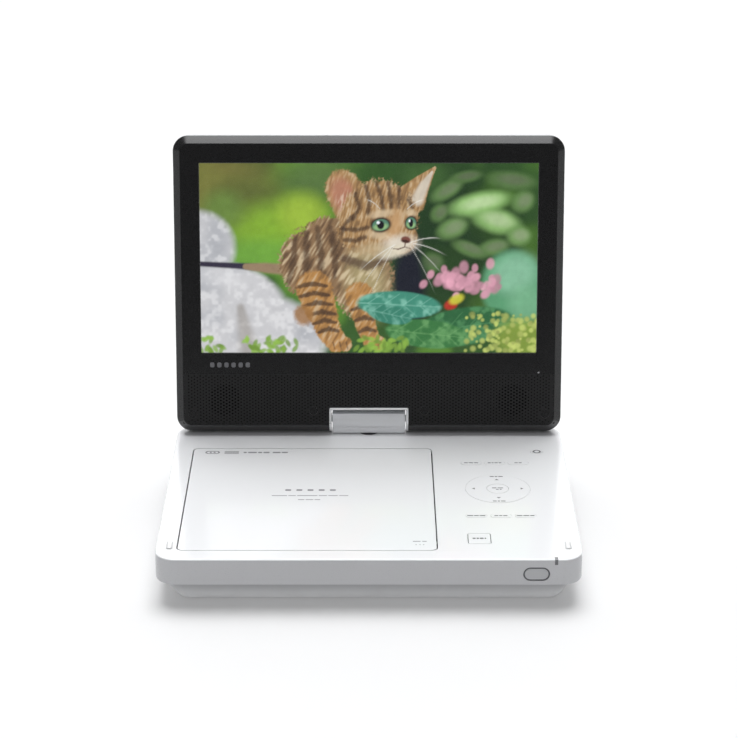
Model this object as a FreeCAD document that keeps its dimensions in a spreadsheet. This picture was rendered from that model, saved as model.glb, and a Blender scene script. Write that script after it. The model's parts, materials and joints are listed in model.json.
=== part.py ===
import FreeCAD, Part
import math
import os
import re

import Sketcher

# A portable disc player: a low base with a disc door and keys, and a screen lid that tilts and swivels
# on a block at the base's rear edge.
# Frame: +X to the user's right, -Y towards the user, +Z up, Z = 0 under the rubber feet.
# Millimetres. The screen lid is modelled in a frame of its own: origin on the tilt axis, y up the lid,
# z out of the screen; its pieces are then placed on the base with the lid open and leaning back.

DIMENSIONS = {
    # base
    "base_width": 228.2,
    "base_depth": 175.2,
    "base_corner": 11.4,
    "front_y": -103.648,        # the base's front edge, which centres the whole player on Y = 0
    "top_plane": 28.5,          # height of the base's top surface
    "side_height": 14.5,        # upright part of the base's side
    "edge_round": 0.8,
    "plate": 2.2,               # thickness of the base's top
    "wall": 2.0,
    "rim": 1.2,                 # thickness of the flange that the bottom case closes on
    "rim_inset": 5.6,
    "foot_height": 1.2,
    "foot_radius": 5.0,
    "case_top_inset": 3.6,      # the bottom case is set back under the upper part
    "case_front_inset": 9.5,
    "case_side_inset": 11.0,
    "case_corner": 7.0,
    "tub_floor": 2.0,
    "post_radius": 3.2,
    "screw_radius": 1.45,
    "screw_bore": 1.5,
    "screw_head": 2.7,
    "screw_length": 12.0,
    # disc door and disc well
    "door_left": -102.4,
    "door_right": 36.4,
    "door_front": 11.5,
    "door_rear": 142.6,
    "door_thick": 1.8,
    "door_corner": 3.0,
    "door_gap": 0.6,
    "door_pin": 0.6,
    "disc_x": -33.0,
    "disc_y": 77.05,
    "well_radius": 62.0,
    "well_wall": 1.5,
    "well_floor": 18.7,
    "disc_rest": 22.3,          # height of the underside of a disc on its hub
    "hub_radius": 7.3,
    "hook_x": 33.0,
    "hook_y": 22.5,
    # keys
    "key_proud": 0.2,
    "key_gap": 0.2,
    "key_pitch": 13.6,
    "key_x": 72.8,
    "key_wide": 12.0,
    "key_deep": 5.0,
    "lower_wide": 11.5,
    "lower_deep": 4.5,
    "upper_row": 122.5,
    "nav_row": 87.7,
    "lower_row": 53.0,
    "nav_radius": 18.2,
    "enter_radius": 6.0,
    "open_x": 59.65,
    "open_y": 25.1,
    "open_wide": 11.9,
    "power_x": 98.3,
    "power_y": 138.2,
    "power_radius": 2.5,
    "board_top": 21.7,
    "board_thick": 1.2,
    "switch_top": 24.3,
    "switch_wide": 4.0,
    # front and side details
    "infrared_x": 89.1,
    "infrared_drop": 8.6,
    "infrared_wide": 14.3,
    "infrared_tall": 8.0,
    "pipe_x": 99.5,
    "pipe_wide": 1.7,
    "pipe_reach": 3.2,
    "pad_x": 106.9,
    "pad_front": 12.0,
    "pad_rear": 21.0,
    "pad_wide": 4.0,
    "jack_z": 20.2,
    "jacks_front": 51.5,        # the trim plate that the sockets come through
    "jacks_rear": 110.5,
    "jacks_top": 25.2,
    "wheel_x": 106.9,
    "wheel_y": 40.0,
    "wheel_radius": 7.0,
    # hinge
    "axis_setback": 6.5,        # tilt and swivel axes, in front of the base's rear edge
    "axis_rise": 8.1,           # tilt axis above the base's top
    "block_half": 21.6,
    "block_reach": 5.2,
    "block_gap": 0.6,
    "block_split": 4.7,
    "block_skin": 1.4,
    "collar_radius": 6.3,
    "stem_radius": 3.8,
    "shaft_radius": 2.0,
    # lid
    "lid_lean": 11.1,
    "lid_below": 6.5,           # lid edge below the tilt axis
    "lid_height": 175.3,
    "lid_half": 7.1,            # half of the lid's thickness
    "lid_corner": 9.0,
    "lid_chamfer": 4.2,
    "lid_rear_round": 5.0,
    "lid_split": 2.0,
    "bezel_skin": 2.0,
    "bezel_inset": 4.6,
    "screen_half": 99.0,
    "screen_low": 40.8,
    "screen_high": 153.3,
    "glass_gap": 0.3,
    "glass_step": 0.8,
    "grille_half": 109.3,
    "grille_low": -1.7,
    "grille_high": 28.2,
    "grille_thick": 0.8,
    "notch_half": 22.15,
    "notch_high": 6.6,
    "notch_lip": 1.3,
    "speaker_x": 85.2,
    "speaker_y": 12.4,
    "speaker_radius": 9.25,
    "hole_pitch": 2.0,
    "hole_radius": 0.5,
    "cap_radius": 2.4,
    "led_x": 100.3,
    "led_y": 29.2,
}

doc = FreeCAD.newDocument("portable_player")
sheet = doc.addObject("Spreadsheet::Sheet", "Sheet")
for row, (alias, size) in enumerate(DIMENSIONS.items(), start=1):
    sheet.set(f"A{row}", alias.replace("_", " "))
    sheet.set(f"B{row}", str(size))
    sheet.setAlias(f"B{row}", alias)
doc.recompute()

SIDES = (-1, 1)
NODES = []


# ---------------------------------------------------------------- drawing helpers

def bound(text):
    """The expression, with each dimension's name pointing at the spreadsheet."""
    return re.sub(r"[a-z]\w*", lambda m: "Sheet." + m[0] if m[0] in DIMENSIONS else m[0], str(text))


def value(text):
    return float(sheet.evalExpression(bound(text)))


def node(thing, name):
    """Mark an object of the document as one of the player's sub-parts."""
    thing.Label = name
    NODES.append(thing)
    return thing


def new_body(name):
    return node(doc.addObject("PartDesign::Body", name), name)


def tie(sketch, kind, shape, point, text):
    """Tie one point of a sketch to the spreadsheet, measured from the sketch's origin."""
    index = sketch.addConstraint(Sketcher.Constraint(kind, -1, 1, shape, point, value(text)))
    sketch.setExpression(f"Constraints[{index}]", bound(text))


def circle(x, y, radius):
    """A loop: a circle."""
    def draw(sketch):
        centre = FreeCAD.Vector(value(x), value(y), 0)
        shape = sketch.addGeometry(Part.Circle(centre, FreeCAD.Vector(0, 0, 1), value(radius)))
        tie(sketch, "DistanceX", shape, 3, x)
        tie(sketch, "DistanceY", shape, 3, y)
        index = sketch.addConstraint(Sketcher.Constraint("Radius", shape, value(radius)))
        sketch.setExpression(f"Constraints[{index}]", bound(radius))
    return draw


def polygon(*points):
    """A loop: straight sides through points given as pairs of expressions."""
    def draw(sketch):
        spots = [FreeCAD.Vector(value(x), value(y), 0) for x, y in points]
        count = len(spots)
        lines = [sketch.addGeometry(Part.LineSegment(spots[i], spots[(i + 1) % count]))
                 for i in range(count)]
        for i, line in enumerate(lines):
            sketch.addConstraint(Sketcher.Constraint("Coincident", line, 2, lines[(i + 1) % count], 1))
            tie(sketch, "DistanceX", line, 1, points[i][0])
            tie(sketch, "DistanceY", line, 1, points[i][1])
    return draw


def rectangle(left, front, right, rear):
    """A loop: a rectangle given by its four sides."""
    return polygon((left, front), (right, front), (right, rear), (left, rear))


def rounded(left, front, right, rear, radius):
    """A loop: a rectangle with round corners."""
    def draw(sketch):
        x0, y0, x1, y1, r = (value(t) for t in (left, front, right, rear, radius))
        corners = [(x1 - r, y0 + r, -90), (x1 - r, y1 - r, 0), (x0 + r, y1 - r, 90), (x0 + r, y0 + r, 180)]
        ends = [((x0 + r, y0), (x1 - r, y0)), ((x1, y0 + r), (x1, y1 - r)),
                ((x1 - r, y1), (x0 + r, y1)), ((x0, y1 - r), (x0, y0 + r))]
        lines = [sketch.addGeometry(Part.LineSegment(FreeCAD.Vector(*a, 0), FreeCAD.Vector(*b, 0)))
                 for a, b in ends]
        arcs = []
        for x, y, start in corners:
            whole = Part.Circle(FreeCAD.Vector(x, y, 0), FreeCAD.Vector(0, 0, 1), r)
            arc = Part.ArcOfCircle(whole, math.radians(start), math.radians(start + 90))
            arcs.append(sketch.addGeometry(arc))
        for i in range(4):
            sketch.addConstraint(Sketcher.Constraint("Tangent", lines[i], 2, arcs[i], 1))
            sketch.addConstraint(Sketcher.Constraint("Tangent", arcs[i], 2, lines[(i + 1) % 4], 1))
            sketch.addConstraint(Sketcher.Constraint("Vertical" if i % 2 else "Horizontal", lines[i]))
        for arc in arcs[1:]:
            sketch.addConstraint(Sketcher.Constraint("Equal", arcs[0], arc))
        index = sketch.addConstraint(Sketcher.Constraint("Radius", arcs[0], r))
        sketch.setExpression(f"Constraints[{index}]", bound(radius))
        tie(sketch, "DistanceY", lines[0], 1, front)
        tie(sketch, "DistanceX", lines[1], 1, right)
        tie(sketch, "DistanceY", lines[2], 1, rear)
        tie(sketch, "DistanceX", lines[3], 1, left)
    return draw


def pill(x, y, wide, deep):
    """A loop: a rectangle with fully round ends, given by its middle."""
    return rounded(f"{x} - ({wide}) / 2", f"{y} - ({deep}) / 2", f"{x} + ({wide}) / 2",
                   f"{y} + ({deep}) / 2", f"({deep}) / 2 - 0.02")


def new_sketch(body, along, start, end, loops):
    """A sketch across the axis named by along; the feature made from it runs from start to end."""
    role = {"x": "YZ_Plane", "y": "XZ_Plane", "z": "XY_Plane"}[along]
    sketch = body.newObject("Sketcher::SketchObject", f"{body.Name}_sketch")
    sketch.AttachmentSupport = [(next(f for f in body.Origin.OriginFeatures if f.Role == role), "")]
    sketch.MapMode = "FlatFace"
    offset = f"-({end})" if along == "y" else f"{start}"   # the XZ plane's normal is -Y
    sketch.AttachmentOffset = FreeCAD.Placement(FreeCAD.Vector(0, 0, value(offset)), FreeCAD.Rotation())
    sketch.setExpression("AttachmentOffset.Base.z", bound(offset))
    for draw in loops:
        draw(sketch)
    return sketch


def pad(body, start, end, *loops, along="z"):
    """Add material between two levels."""
    feature = body.newObject("PartDesign::Pad", f"{body.Name}_pad")
    feature.Profile = new_sketch(body, along, start, end, loops)
    feature.Length = value(f"({end}) - ({start})")
    feature.setExpression("Length", bound(f"({end}) - ({start})"))
    return feature


def cut(body, start, end, *loops, along="z"):
    """Take material away between two levels, and make sure that some went."""
    doc.recompute()
    before = body.Shape.Volume
    feature = body.newObject("PartDesign::Pocket", f"{body.Name}_pocket")
    feature.Profile = new_sketch(body, along, start, end, loops)
    feature.Length = value(f"({end}) - ({start})")
    feature.setExpression("Length", bound(f"({end}) - ({start})"))
    feature.Reversed = True
    doc.recompute()
    if body.Shape.Volume > before - 0.01:
        raise RuntimeError(f"{body.Label}: a cut between {start} and {end} removes nothing")
    return feature


def edges_where(body, test):
    """The names of a body's edges whose bounding box passes a test."""
    doc.recompute()
    return [f"Edge{i}" for i, edge in enumerate(body.Tip.Shape.Edges, start=1) if test(edge.BoundBox)]


def round_edges(body, radius, test):
    names = edges_where(body, test)
    base = body.Tip
    feature = body.newObject("PartDesign::Fillet", f"{body.Name}_fillet")
    feature.Base = (base, names)
    feature.Radius = value(radius)
    feature.setExpression("Radius", bound(radius))
    return feature


def chamfer_edges(body, size, test):
    names = edges_where(body, test)
    base = body.Tip
    feature = body.newObject("PartDesign::Chamfer", f"{body.Name}_chamfer")
    feature.Base = (base, names)
    feature.Size = value(size)
    feature.setExpression("Size", bound(size))
    return feature


def level(text):
    """A test for edges that lie wholly at one height."""
    z = value(text)
    return lambda box: abs(box.ZMin - z) < 0.01 and abs(box.ZMax - z) < 0.01


def place(thing, x, y, z):
    """Put a primitive's corner or centre at a point given by expressions."""
    thing.Placement.Base = FreeCAD.Vector(value(x), value(y), value(z))
    for axis, text in zip("xyz", (x, y, z)):
        thing.setExpression(f"Placement.Base.{axis}", bound(text))


def block(name, left, front, low, right, rear, high):
    thing = doc.addObject("Part::Box", name)
    for side, text in (("Length", f"({right}) - ({left})"), ("Width", f"({rear}) - ({front})"),
                       ("Height", f"({high}) - ({low})")):
        setattr(thing, side, value(text))
        thing.setExpression(side, bound(text))
    place(thing, left, front, low)
    return thing


def cylinder(name, x, y, low, high, radius):
    thing = doc.addObject("Part::Cylinder", name)
    thing.Radius = value(radius)
    thing.setExpression("Radius", bound(radius))
    thing.Height = value(f"({high}) - ({low})")
    thing.setExpression("Height", bound(f"({high}) - ({low})"))
    place(thing, x, y, low)
    return thing


def joined(name, *pieces):
    thing = doc.addObject("Part::MultiFuse", name)
    thing.Shapes = list(pieces)
    return thing


def group(name, pieces):
    """Several like solids in one node."""
    thing = doc.addObject("Part::Compound", name)
    thing.Links = list(pieces)
    return node(thing, name)


def deep(text):
    """A distance back from the base's front edge, as a Y position."""
    return f"front_y + ({text})"


def on_lid(thing):
    """Stand a piece that is drawn in the lid's own frame on the tilt axis, leaning back."""
    thing.Placement = FreeCAD.Placement(
        FreeCAD.Vector(0, value(AXIS_Y), value(AXIS_Z)),
        FreeCAD.Rotation(FreeCAD.Vector(1, 0, 0), 90 - value("lid_lean")))
    thing.setExpression("Placement.Base.y", bound(AXIS_Y))
    thing.setExpression("Placement.Base.z", bound(AXIS_Z))
    thing.setExpression("Placement.Rotation.Angle", bound("90 - lid_lean"))
    return thing


AXIS_Y = deep("base_depth - axis_setback")
AXIS_Z = "top_plane + axis_rise"
PLATE_UNDER = "top_plane - plate"
SPLIT = "top_plane - side_height"
KEY_TOP = "top_plane + key_proud"
SCREWS = {"cover": (("96", deep("16")), ("96", deep("159")), ("-96", deep("159"))),
          "well": (("-96", deep("16")), ("25", deep("18")))}
NAV_SPOTS = (("13.5", "0"), ("-13.5", "0"), ("0", "13.5"), ("0", "-13.5"))


def key_spot(column):
    return f"key_x + ({column}) * key_pitch"


# ---------------------------------------------------------------- base shells

def base_outline(inset, radius):
    return rounded(f"-base_width / 2 + {inset}", deep(inset), f"base_width / 2 - ({inset})",
                   deep(f"base_depth - ({inset})"), radius)


def door_opening(extra):
    return rounded(f"door_left - ({extra})", deep(f"door_front - ({extra})"),
                   f"door_right + ({extra})", deep(f"door_rear + ({extra})"), f"door_corner + ({extra})")


def make_top_cover():
    cover = new_body("base_top_cover")
    pad(cover, SPLIT, "top_plane", base_outline("0", "base_corner"))
    round_edges(cover, "edge_round", level("top_plane"))
    cut(cover, SPLIT, f"{SPLIT} + rim", base_outline("rim_inset", "base_corner - rim_inset"))
    cut(cover, f"{SPLIT} + rim", PLATE_UNDER, base_outline("wall", "base_corner - wall"))
    # posts for the case screws, the latch's guide ribs and the stakes that hold the swivel plate
    pad(cover, SPLIT, PLATE_UNDER, *[circle(x, y, "post_radius") for x, y in SCREWS["cover"]])
    cut(cover, SPLIT, PLATE_UNDER + " - 3", *[circle(x, y, "screw_bore") for x, y in SCREWS["cover"]])
    for front in ("hook_y - 1.3", "hook_y + 5.2"):
        pad(cover, f"{PLATE_UNDER} - 5.3", PLATE_UNDER,
            rectangle("44", deep(front), "50", deep(f"{front} + 1.1")))
    pad(cover, f"{PLATE_UNDER} - 2.1", PLATE_UNDER,
        *[circle(x, deep(y), "1.2") for x in ("-19", "19") for y in ("154", "169")])
    # openings in the top
    upper = [pill(key_spot(c), deep("upper_row"), "key_wide + 2 * key_gap", "key_deep + 2 * key_gap")
             for c in (-1, 0, 1)]
    lower = [pill(key_spot(c), deep("lower_row"), "lower_wide + 2 * key_gap", "lower_deep + 2 * key_gap")
             for c in (-1, 0, 1)]
    cut(cover, PLATE_UNDER, "top_plane", door_opening("door_gap"), *upper, *lower,
        circle("key_x", deep("nav_row"), "nav_radius + 0.25"),
        circle("power_x", deep("power_y"), "power_radius + 1.25"),
        circle("0", AXIS_Y, "stem_radius + 0.15"),
        rounded("open_x - open_wide / 2 - 0.35", deep("open_y - open_wide / 2 - 0.35"),
                "open_x + open_wide / 2 + 0.35", deep("open_y + open_wide / 2 + 0.35"), "1.3"))
    cut(cover, "top_plane - 0.6", "top_plane",
        *[rounded(f"{s} * pad_x - pad_wide / 2", deep("pad_front"), f"{s} * pad_x + pad_wide / 2",
                  deep("pad_rear"), "1.2") for s in SIDES])
    # bores for the door's hinge pins, infrared window, light pipe notch, sockets and volume wheel
    for x0, x1 in (("door_left - 5", "door_left + 1"), ("door_right - 1", "door_right + 5")):
        cut(cover, x0, x1, circle(deep("door_rear - 1.2"), "top_plane - 1.2", "door_pin + 0.05"), along="x")
    cut(cover, deep("0"), deep("wall"),
        pill("infrared_x", "top_plane - infrared_drop", "infrared_wide", "infrared_tall"), along="y")
    cut(cover, "pipe_x - pipe_wide / 2", "pipe_x + pipe_wide / 2", pipe_outline(), along="x")
    cut(cover, "base_width / 2 - 1.2", "base_width / 2",
        rounded(deep("wheel_y - 8"), "jack_z - 3.3", deep("wheel_y + 8"), "jack_z + 3.5", "3"), along="x")
    cut(cover, "base_width / 2 - wall", "base_width / 2",
        rectangle(deep("wheel_y - 5.2"), "jack_z - 1.5", deep("wheel_y + 5.2"), "jack_z + 2.1"), along="x")
    cut(cover, "base_width / 2 - rim_inset - 0.5", "base_width / 2",
        rectangle(deep("jacks_front"), SPLIT, deep("jacks_rear"), "jacks_top"), along="x")


def pipe_outline():
    """The light pipe's side view: over the base's top front edge and down inside."""
    return polygon((deep("0"), "top_plane - 3.1"), (deep("wall"), "top_plane - 3.1"),
                   (deep("wall"), "top_plane - 4.4"), (deep("pipe_reach"), "top_plane - 4.4"),
                   (deep("pipe_reach"), "top_plane"), (deep("0"), "top_plane"))


def tub_loft(body, kind, low, high, thick):
    """The bottom case's tapering form, or its hollow when thick is the wall."""
    sections = []
    for height, side, front, radius in (
            (low, "case_side_inset", "case_front_inset", "case_corner"),
            (high, "case_top_inset", "case_top_inset", "base_corner - case_top_inset / 2")):
        loop = rounded(f"-base_width / 2 + {side} + {thick}", deep(f"{front} + {thick}"),
                       f"base_width / 2 - {side} - {thick}", deep(f"base_depth - {front} - {thick}"),
                       f"{radius} - {thick} / 2")
        sections.append(new_sketch(body, "z", height, height, [loop]))
    loft = body.newObject(kind, f"{body.Name}_loft")
    loft.Profile = sections[0]
    loft.Sections = [sections[1]]
    loft.Ruled = True


def make_bottom_case():
    case = new_body("base_bottom_case")
    tub_loft(case, "PartDesign::AdditiveLoft", "foot_height", SPLIT, "0")
    tub_loft(case, "PartDesign::SubtractiveLoft", "foot_height + tub_floor", SPLIT, "wall")
    everything = SCREWS["cover"] + SCREWS["well"]
    pad(case, "foot_height + tub_floor", SPLIT, *[circle(x, y, "post_radius") for x, y in everything])
    pad(case, "foot_height + tub_floor", "5.6",
        *[circle(x, deep(y), "2.5") for x in ("-90", "30") for y in ("32", "142")])
    cut(case, "foot_height", SPLIT, *[circle(x, y, "screw_bore") for x, y in everything])
    cut(case, "foot_height", "foot_height + 3", *[circle(x, y, "screw_head + 0.2") for x, y in everything])
    cut(case, "foot_height", "foot_height + tub_floor",
        rounded("46.8", deep("38.3"), "97.2", deep("141.7"), "3.2"))


def make_base_hardware():
    screws = []
    for i, (x, y) in enumerate(SCREWS["cover"] + SCREWS["well"]):
        seat = "foot_height + 3"
        screws.append(joined(f"base_screw_{i}", cylinder(f"base_screw_head_{i}", x, y, f"{seat} - 1.8",
                                                         seat, "screw_head"),
                             cylinder(f"base_screw_shank_{i}", x, y, seat, f"{seat} + screw_length",
                                      "screw_radius")))
    group("base_screws", screws)
    feet = []
    for i, (x, y) in enumerate((x, y) for x in ("-86", "86") for y in ("25", "151")):
        feet.append(cylinder(f"foot_{i}", x, deep(y), "0", "foot_height", "foot_radius"))
    group("rubber_feet", feet)
    battery = new_body("battery_pack")
    pad(battery, "foot_height + tub_floor + 0.4", "15", rounded("49", deep("41"), "95", deep("139"), "3"))
    round_edges(battery, "2.5", level("15"))
    hatch = new_body("battery_cover")
    pad(hatch, "foot_height", "foot_height + tub_floor", rounded("47", deep("38.5"), "97", deep("141.5"), "3"))
    cut(hatch, "foot_height", "foot_height + 0.5",
        *[rounded("62", deep(y), "82", deep(f"{y} + 1.2"), "0.55") for y in (126, 129, 132)])


# ---------------------------------------------------------------- disc drive

def make_disc_well():
    well = new_body("disc_well")
    outer = "well_radius + well_wall"
    pad(well, "well_floor", PLATE_UNDER, circle("disc_x", deep("disc_y"), outer))
    pad(well, f"{PLATE_UNDER} - well_wall", PLATE_UNDER, door_opening("door_gap + 1.5"))
    pad(well, SPLIT, PLATE_UNDER, *[circle(x, y, "post_radius") for x, y in SCREWS["well"]])
    cut(well, SPLIT, f"{PLATE_UNDER} - 3", *[circle(x, y, "screw_bore") for x, y in SCREWS["well"]])
    cut(well, "well_floor + 1.6", PLATE_UNDER, circle("disc_x", deep("disc_y"), "well_radius"))
    cut(well, "well_floor", "well_floor + 1.6",
        rounded("disc_x - 13", deep("15.5"), "disc_x + 13", deep("86"), "4"))
    cut(well, f"{PLATE_UNDER} - well_wall", PLATE_UNDER,
        rectangle("hook_x - 1.2", deep("hook_y - 1.5"), "hook_x + 4", deep("hook_y + 6.5")))
    cut(well, f"{PLATE_UNDER} - 0.5", PLATE_UNDER,
        rectangle("door_left - 0.3", deep("door_rear - 4.3"), "door_right + 0.3", deep("door_rear + 0.6")))


def make_traverse():
    chassis = new_body("traverse_chassis")
    low, high, rod_z = "well_floor - 3.1", "well_floor - 1.7", "12.6"
    pad(chassis, low, high, rounded("disc_x - 27", deep("8.4"), "disc_x + 27", deep("100"), "2"))
    for front, rear in (("8.4", "10.9"), ("66", "68.5")):
        pad(chassis, f"{rod_z} - 2", low,
            *[rectangle(f"disc_x + {s} * 16.5 - 3", deep(front), f"disc_x + {s} * 16.5 + 2.6", deep(rear))
              for s in SIDES])
    pad(chassis, f"{rod_z} - 2", low, rectangle("disc_x + 19.1", deep("8.4"), "disc_x + 23.5", deep("10.9")))
    for front, rear in (("8.4", "10.9"), ("66", "68.5")):
        cut(chassis, deep(front), deep(rear),
            *[circle(f"disc_x + {s} * 16.5", rod_z, "1.5") for s in SIDES], along="y")
    cut(chassis, deep("8.4"), deep("10.9"), circle("disc_x + 21.5", rod_z, "0.9"), along="y")
    cut(chassis, low, high, rounded("disc_x - 12.5", deep("11.5"), "disc_x + 12.5", deep("62"), "1.5"),
        circle("disc_x", deep("disc_y"), "3.8"))

    group("chassis_dampers",
          [cylinder(f"damper_{i}", f"disc_x + {s} * 23", deep(y), high, "well_floor", "3")
           for i, (s, y) in enumerate((s, y) for s in SIDES for y in ("24", "95"))])
    rods = new_body("guide_rods")
    rods.AllowCompound = True
    pad(rods, deep("8.4"), deep("68.5"), *[circle(f"disc_x + {s} * 16.5", rod_z, "1.5") for s in SIDES],
        along="y")

    motor = new_body("spindle_motor")
    spin = ("disc_x", deep("disc_y"))
    pad(motor, f"{low} - 7", low, circle(*spin, "12"))
    pad(motor, low, f"{high} + 0.6", circle(*spin, "3.6"))
    pad(motor, f"{high} + 0.6", "disc_rest + 1.1", circle(*spin, "1"))
    turntable = new_body("turntable")
    pad(turntable, "disc_rest - 3.1", "disc_rest - 1.4", circle(*spin, "3"))
    pad(turntable, "disc_rest - 1.4", "disc_rest", circle(*spin, "14"))
    pad(turntable, "disc_rest", "disc_rest + 2.3", circle(*spin, "hub_radius"))
    chamfer_edges(turntable, "0.9", level("disc_rest + 2.3"))
    cut(turntable, "disc_rest - 3.1", "disc_rest + 1.3", circle(*spin, "1.05"))
    cut(turntable, "disc_rest - 0.4", "disc_rest",
        polygon(*[(f"disc_x + {x}", deep(f"disc_y + {y}")) for x, y in ((-1, 9), (1, 9), (1, 12), (-1, 12))]))

    sled = new_body("pickup_sled")
    pad(sled, f"{rod_z} - 2", f"{low} - 0.4",
        rectangle("disc_x - 18.8", deep("46"), "disc_x + 18.8", deep("60")))
    pad(sled, f"{low} - 0.4", "well_floor - 0.3", rectangle("disc_x - 10", deep("47"), "disc_x + 10", deep("59")))
    pad(sled, "disc_x + 18.8", "disc_x + 20.1",
        rectangle(deep("51"), f"{rod_z} - 1", deep("55"), f"{rod_z} + 1"), along="x")
    cut(sled, deep("46"), deep("60"), *[circle(f"disc_x + {s} * 16.5", rod_z, "1.55") for s in SIDES],
        along="y")
    lens = new_body("objective_lens")
    lens_at = ("disc_x", deep("disc_y - 24"))
    pad(lens, "well_floor - 0.3", "disc_rest - 1.9", circle(*lens_at, "3.4"))
    pad(lens, "disc_rest - 1.9", "disc_rest - 1.4", circle(*lens_at, "2.4"))
    round_edges(lens, "0.4", level("disc_rest - 1.4"))

    screw = new_body("lead_screw")
    at = ("disc_x + 21.5", rod_z)
    pad(screw, deep("10.9"), deep("65.8"), circle(*at, "1.3"), along="y")
    pad(screw, deep("9"), deep("10.9"), circle(*at, "0.85"), along="y")
    drive = new_body("sled_motor")
    pad(drive, deep("68.6"), deep("84"), circle(*at, "3"), along="y")
    pad(drive, deep("66"), deep("68.6"), circle(*at, "1.6"), along="y")


def make_disc_door():
    door = new_body("disc_door")
    under = "top_plane - door_thick"
    pad(door, under, "top_plane", rounded("door_left", deep("door_front"), "door_right", deep("door_rear"),
                                          "door_corner"))
    # a thicker rolled rear edge about the hinge axis
    pad(door, "door_left + 3", "door_right - 3",
        rectangle(deep("door_rear - 4"), "top_plane - 2.4", deep("door_rear - 1.2"), "top_plane - 1"),
        along="x")
    pad(door, "door_left + 3", "door_right - 3",
        circle(deep("door_rear - 1.2"), "top_plane - 1.2", "1.2"), along="x")
    round_edges(door, "0.89", lambda box: box.YLength < 0.01 and box.XLength > 100
                and abs(box.YMin - value(deep("door_rear"))) < 0.01
                and box.ZMin > value("top_plane - 0.01"))
    # the catch that the latch holds, and stiffening ribs round the disc
    pad(door, "top_plane - 6.5", under,
        rectangle("hook_x", deep("hook_y"), "hook_x + 2.2", deep("hook_y + 5")))
    for x0, x1 in (("door_left", "door_left + 8"), ("door_right - 8", "door_right")):
        cut(door, x0, x1, circle(deep("door_rear - 1.2"), "top_plane - 1.2", "door_pin"), along="x")
    pins = new_body("door_hinge_pins")
    pins.AllowCompound = True
    pad(pins, "door_left - 3.5", "door_left + 8",
        circle(deep("door_rear - 1.2"), "top_plane - 1.2", "door_pin"), along="x")
    pad(pins, "door_right - 8", "door_right + 3.5",
        circle(deep("door_rear - 1.2"), "top_plane - 1.2", "door_pin"), along="x")
    latch = new_body("door_latch")
    top = "top_plane - 4.5"
    pad(latch, f"{top} - 1.6", top, rectangle("hook_x + 2.35", deep("hook_y"), "66", deep("hook_y + 5")))
    chamfer_edges(latch, "0.5", lambda box: box.XLength < 0.01 and box.ZLength < 0.01
                  and abs(box.ZMin - value(top)) < 0.01)


# ---------------------------------------------------------------- keys

def make_key(name, x, y, wide, long, flange):
    """A pill-shaped key cap with a flange that stops it under the cover."""
    key = new_body(name)
    low = f"{PLATE_UNDER} - 1.4"
    pad(key, low, KEY_TOP, pill(x, y, wide, long))
    pad(key, low, f"{low} + 1", pill(x, y, f"{wide} + {flange}", f"{long} + {flange}"))
    round_edges(key, "0.25", level(KEY_TOP))


def make_keys():
    for column, name in zip((-1, 0, 1), ("left", "middle", "right")):
        make_key(f"upper_key_{name}", key_spot(column), deep("upper_row"), "key_wide", "key_deep", "1.2")
        make_key(f"lower_key_{name}", key_spot(column), deep("lower_row"), "lower_wide", "lower_deep", "1.4")
    centre = ("key_x", deep("nav_row"))
    low = f"{PLATE_UNDER} - 1.5"
    ring = new_body("nav_ring")
    pad(ring, low, KEY_TOP, circle(*centre, "nav_radius"))
    pad(ring, low, f"{low} + 0.6", circle(*centre, "nav_radius + 1.1"))
    round_edges(ring, "0.25", level(KEY_TOP))
    cut(ring, low, KEY_TOP, circle(*centre, "enter_radius + 0.3"))
    gimbal = new_body("nav_gimbal")
    pad(gimbal, f"{low} - 0.8", f"{low} - 0.4", circle(*centre, "10.6"))
    cut(gimbal, f"{low} - 0.8", f"{low} - 0.4", circle(*centre, "7.4"))
    enter = new_body("enter_key")
    pad(enter, f"{low} - 0.8", KEY_TOP, circle(*centre, "enter_radius"))
    pad(enter, f"{low} - 0.8", f"{low} - 0.3", circle(*centre, "enter_radius + 0.9"))
    round_edges(enter, "0.25", level(KEY_TOP))

    open_key = new_body("open_key")
    low = f"{PLATE_UNDER} - 1.4"
    pad(open_key, low, KEY_TOP,
        rounded("open_x - open_wide / 2", deep("open_y - open_wide / 2"), "open_x + open_wide / 2",
                deep("open_y + open_wide / 2"), "1"))
    pad(open_key, low, f"{low} + 1",
        rounded("open_x - open_wide / 2 - 0.9", deep("open_y - open_wide / 2 - 0.9"),
                "open_x + open_wide / 2 + 0.9", deep("open_y + open_wide / 2 + 0.9"), "1.5"))
    round_edges(open_key, "0.3", level(KEY_TOP))

    ring = new_body("power_ring")
    spot = ("power_x", deep("power_y"))
    pad(ring, f"{PLATE_UNDER} - 1", PLATE_UNDER, circle(*spot, "power_radius + 2.5"))
    pad(ring, PLATE_UNDER, "top_plane + 0.05", circle(*spot, "power_radius + 1.2"))
    cut(ring, f"{PLATE_UNDER} - 1", "top_plane + 0.05", circle(*spot, "power_radius + 0.15"))
    button = new_body("power_button")
    pad(button, f"{PLATE_UNDER} - 2.2", f"{PLATE_UNDER} - 1.4", circle(*spot, "power_radius + 0.7"))
    pad(button, f"{PLATE_UNDER} - 1.4", KEY_TOP, circle(*spot, "power_radius"))
    round_edges(button, "0.3", level(KEY_TOP))


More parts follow.
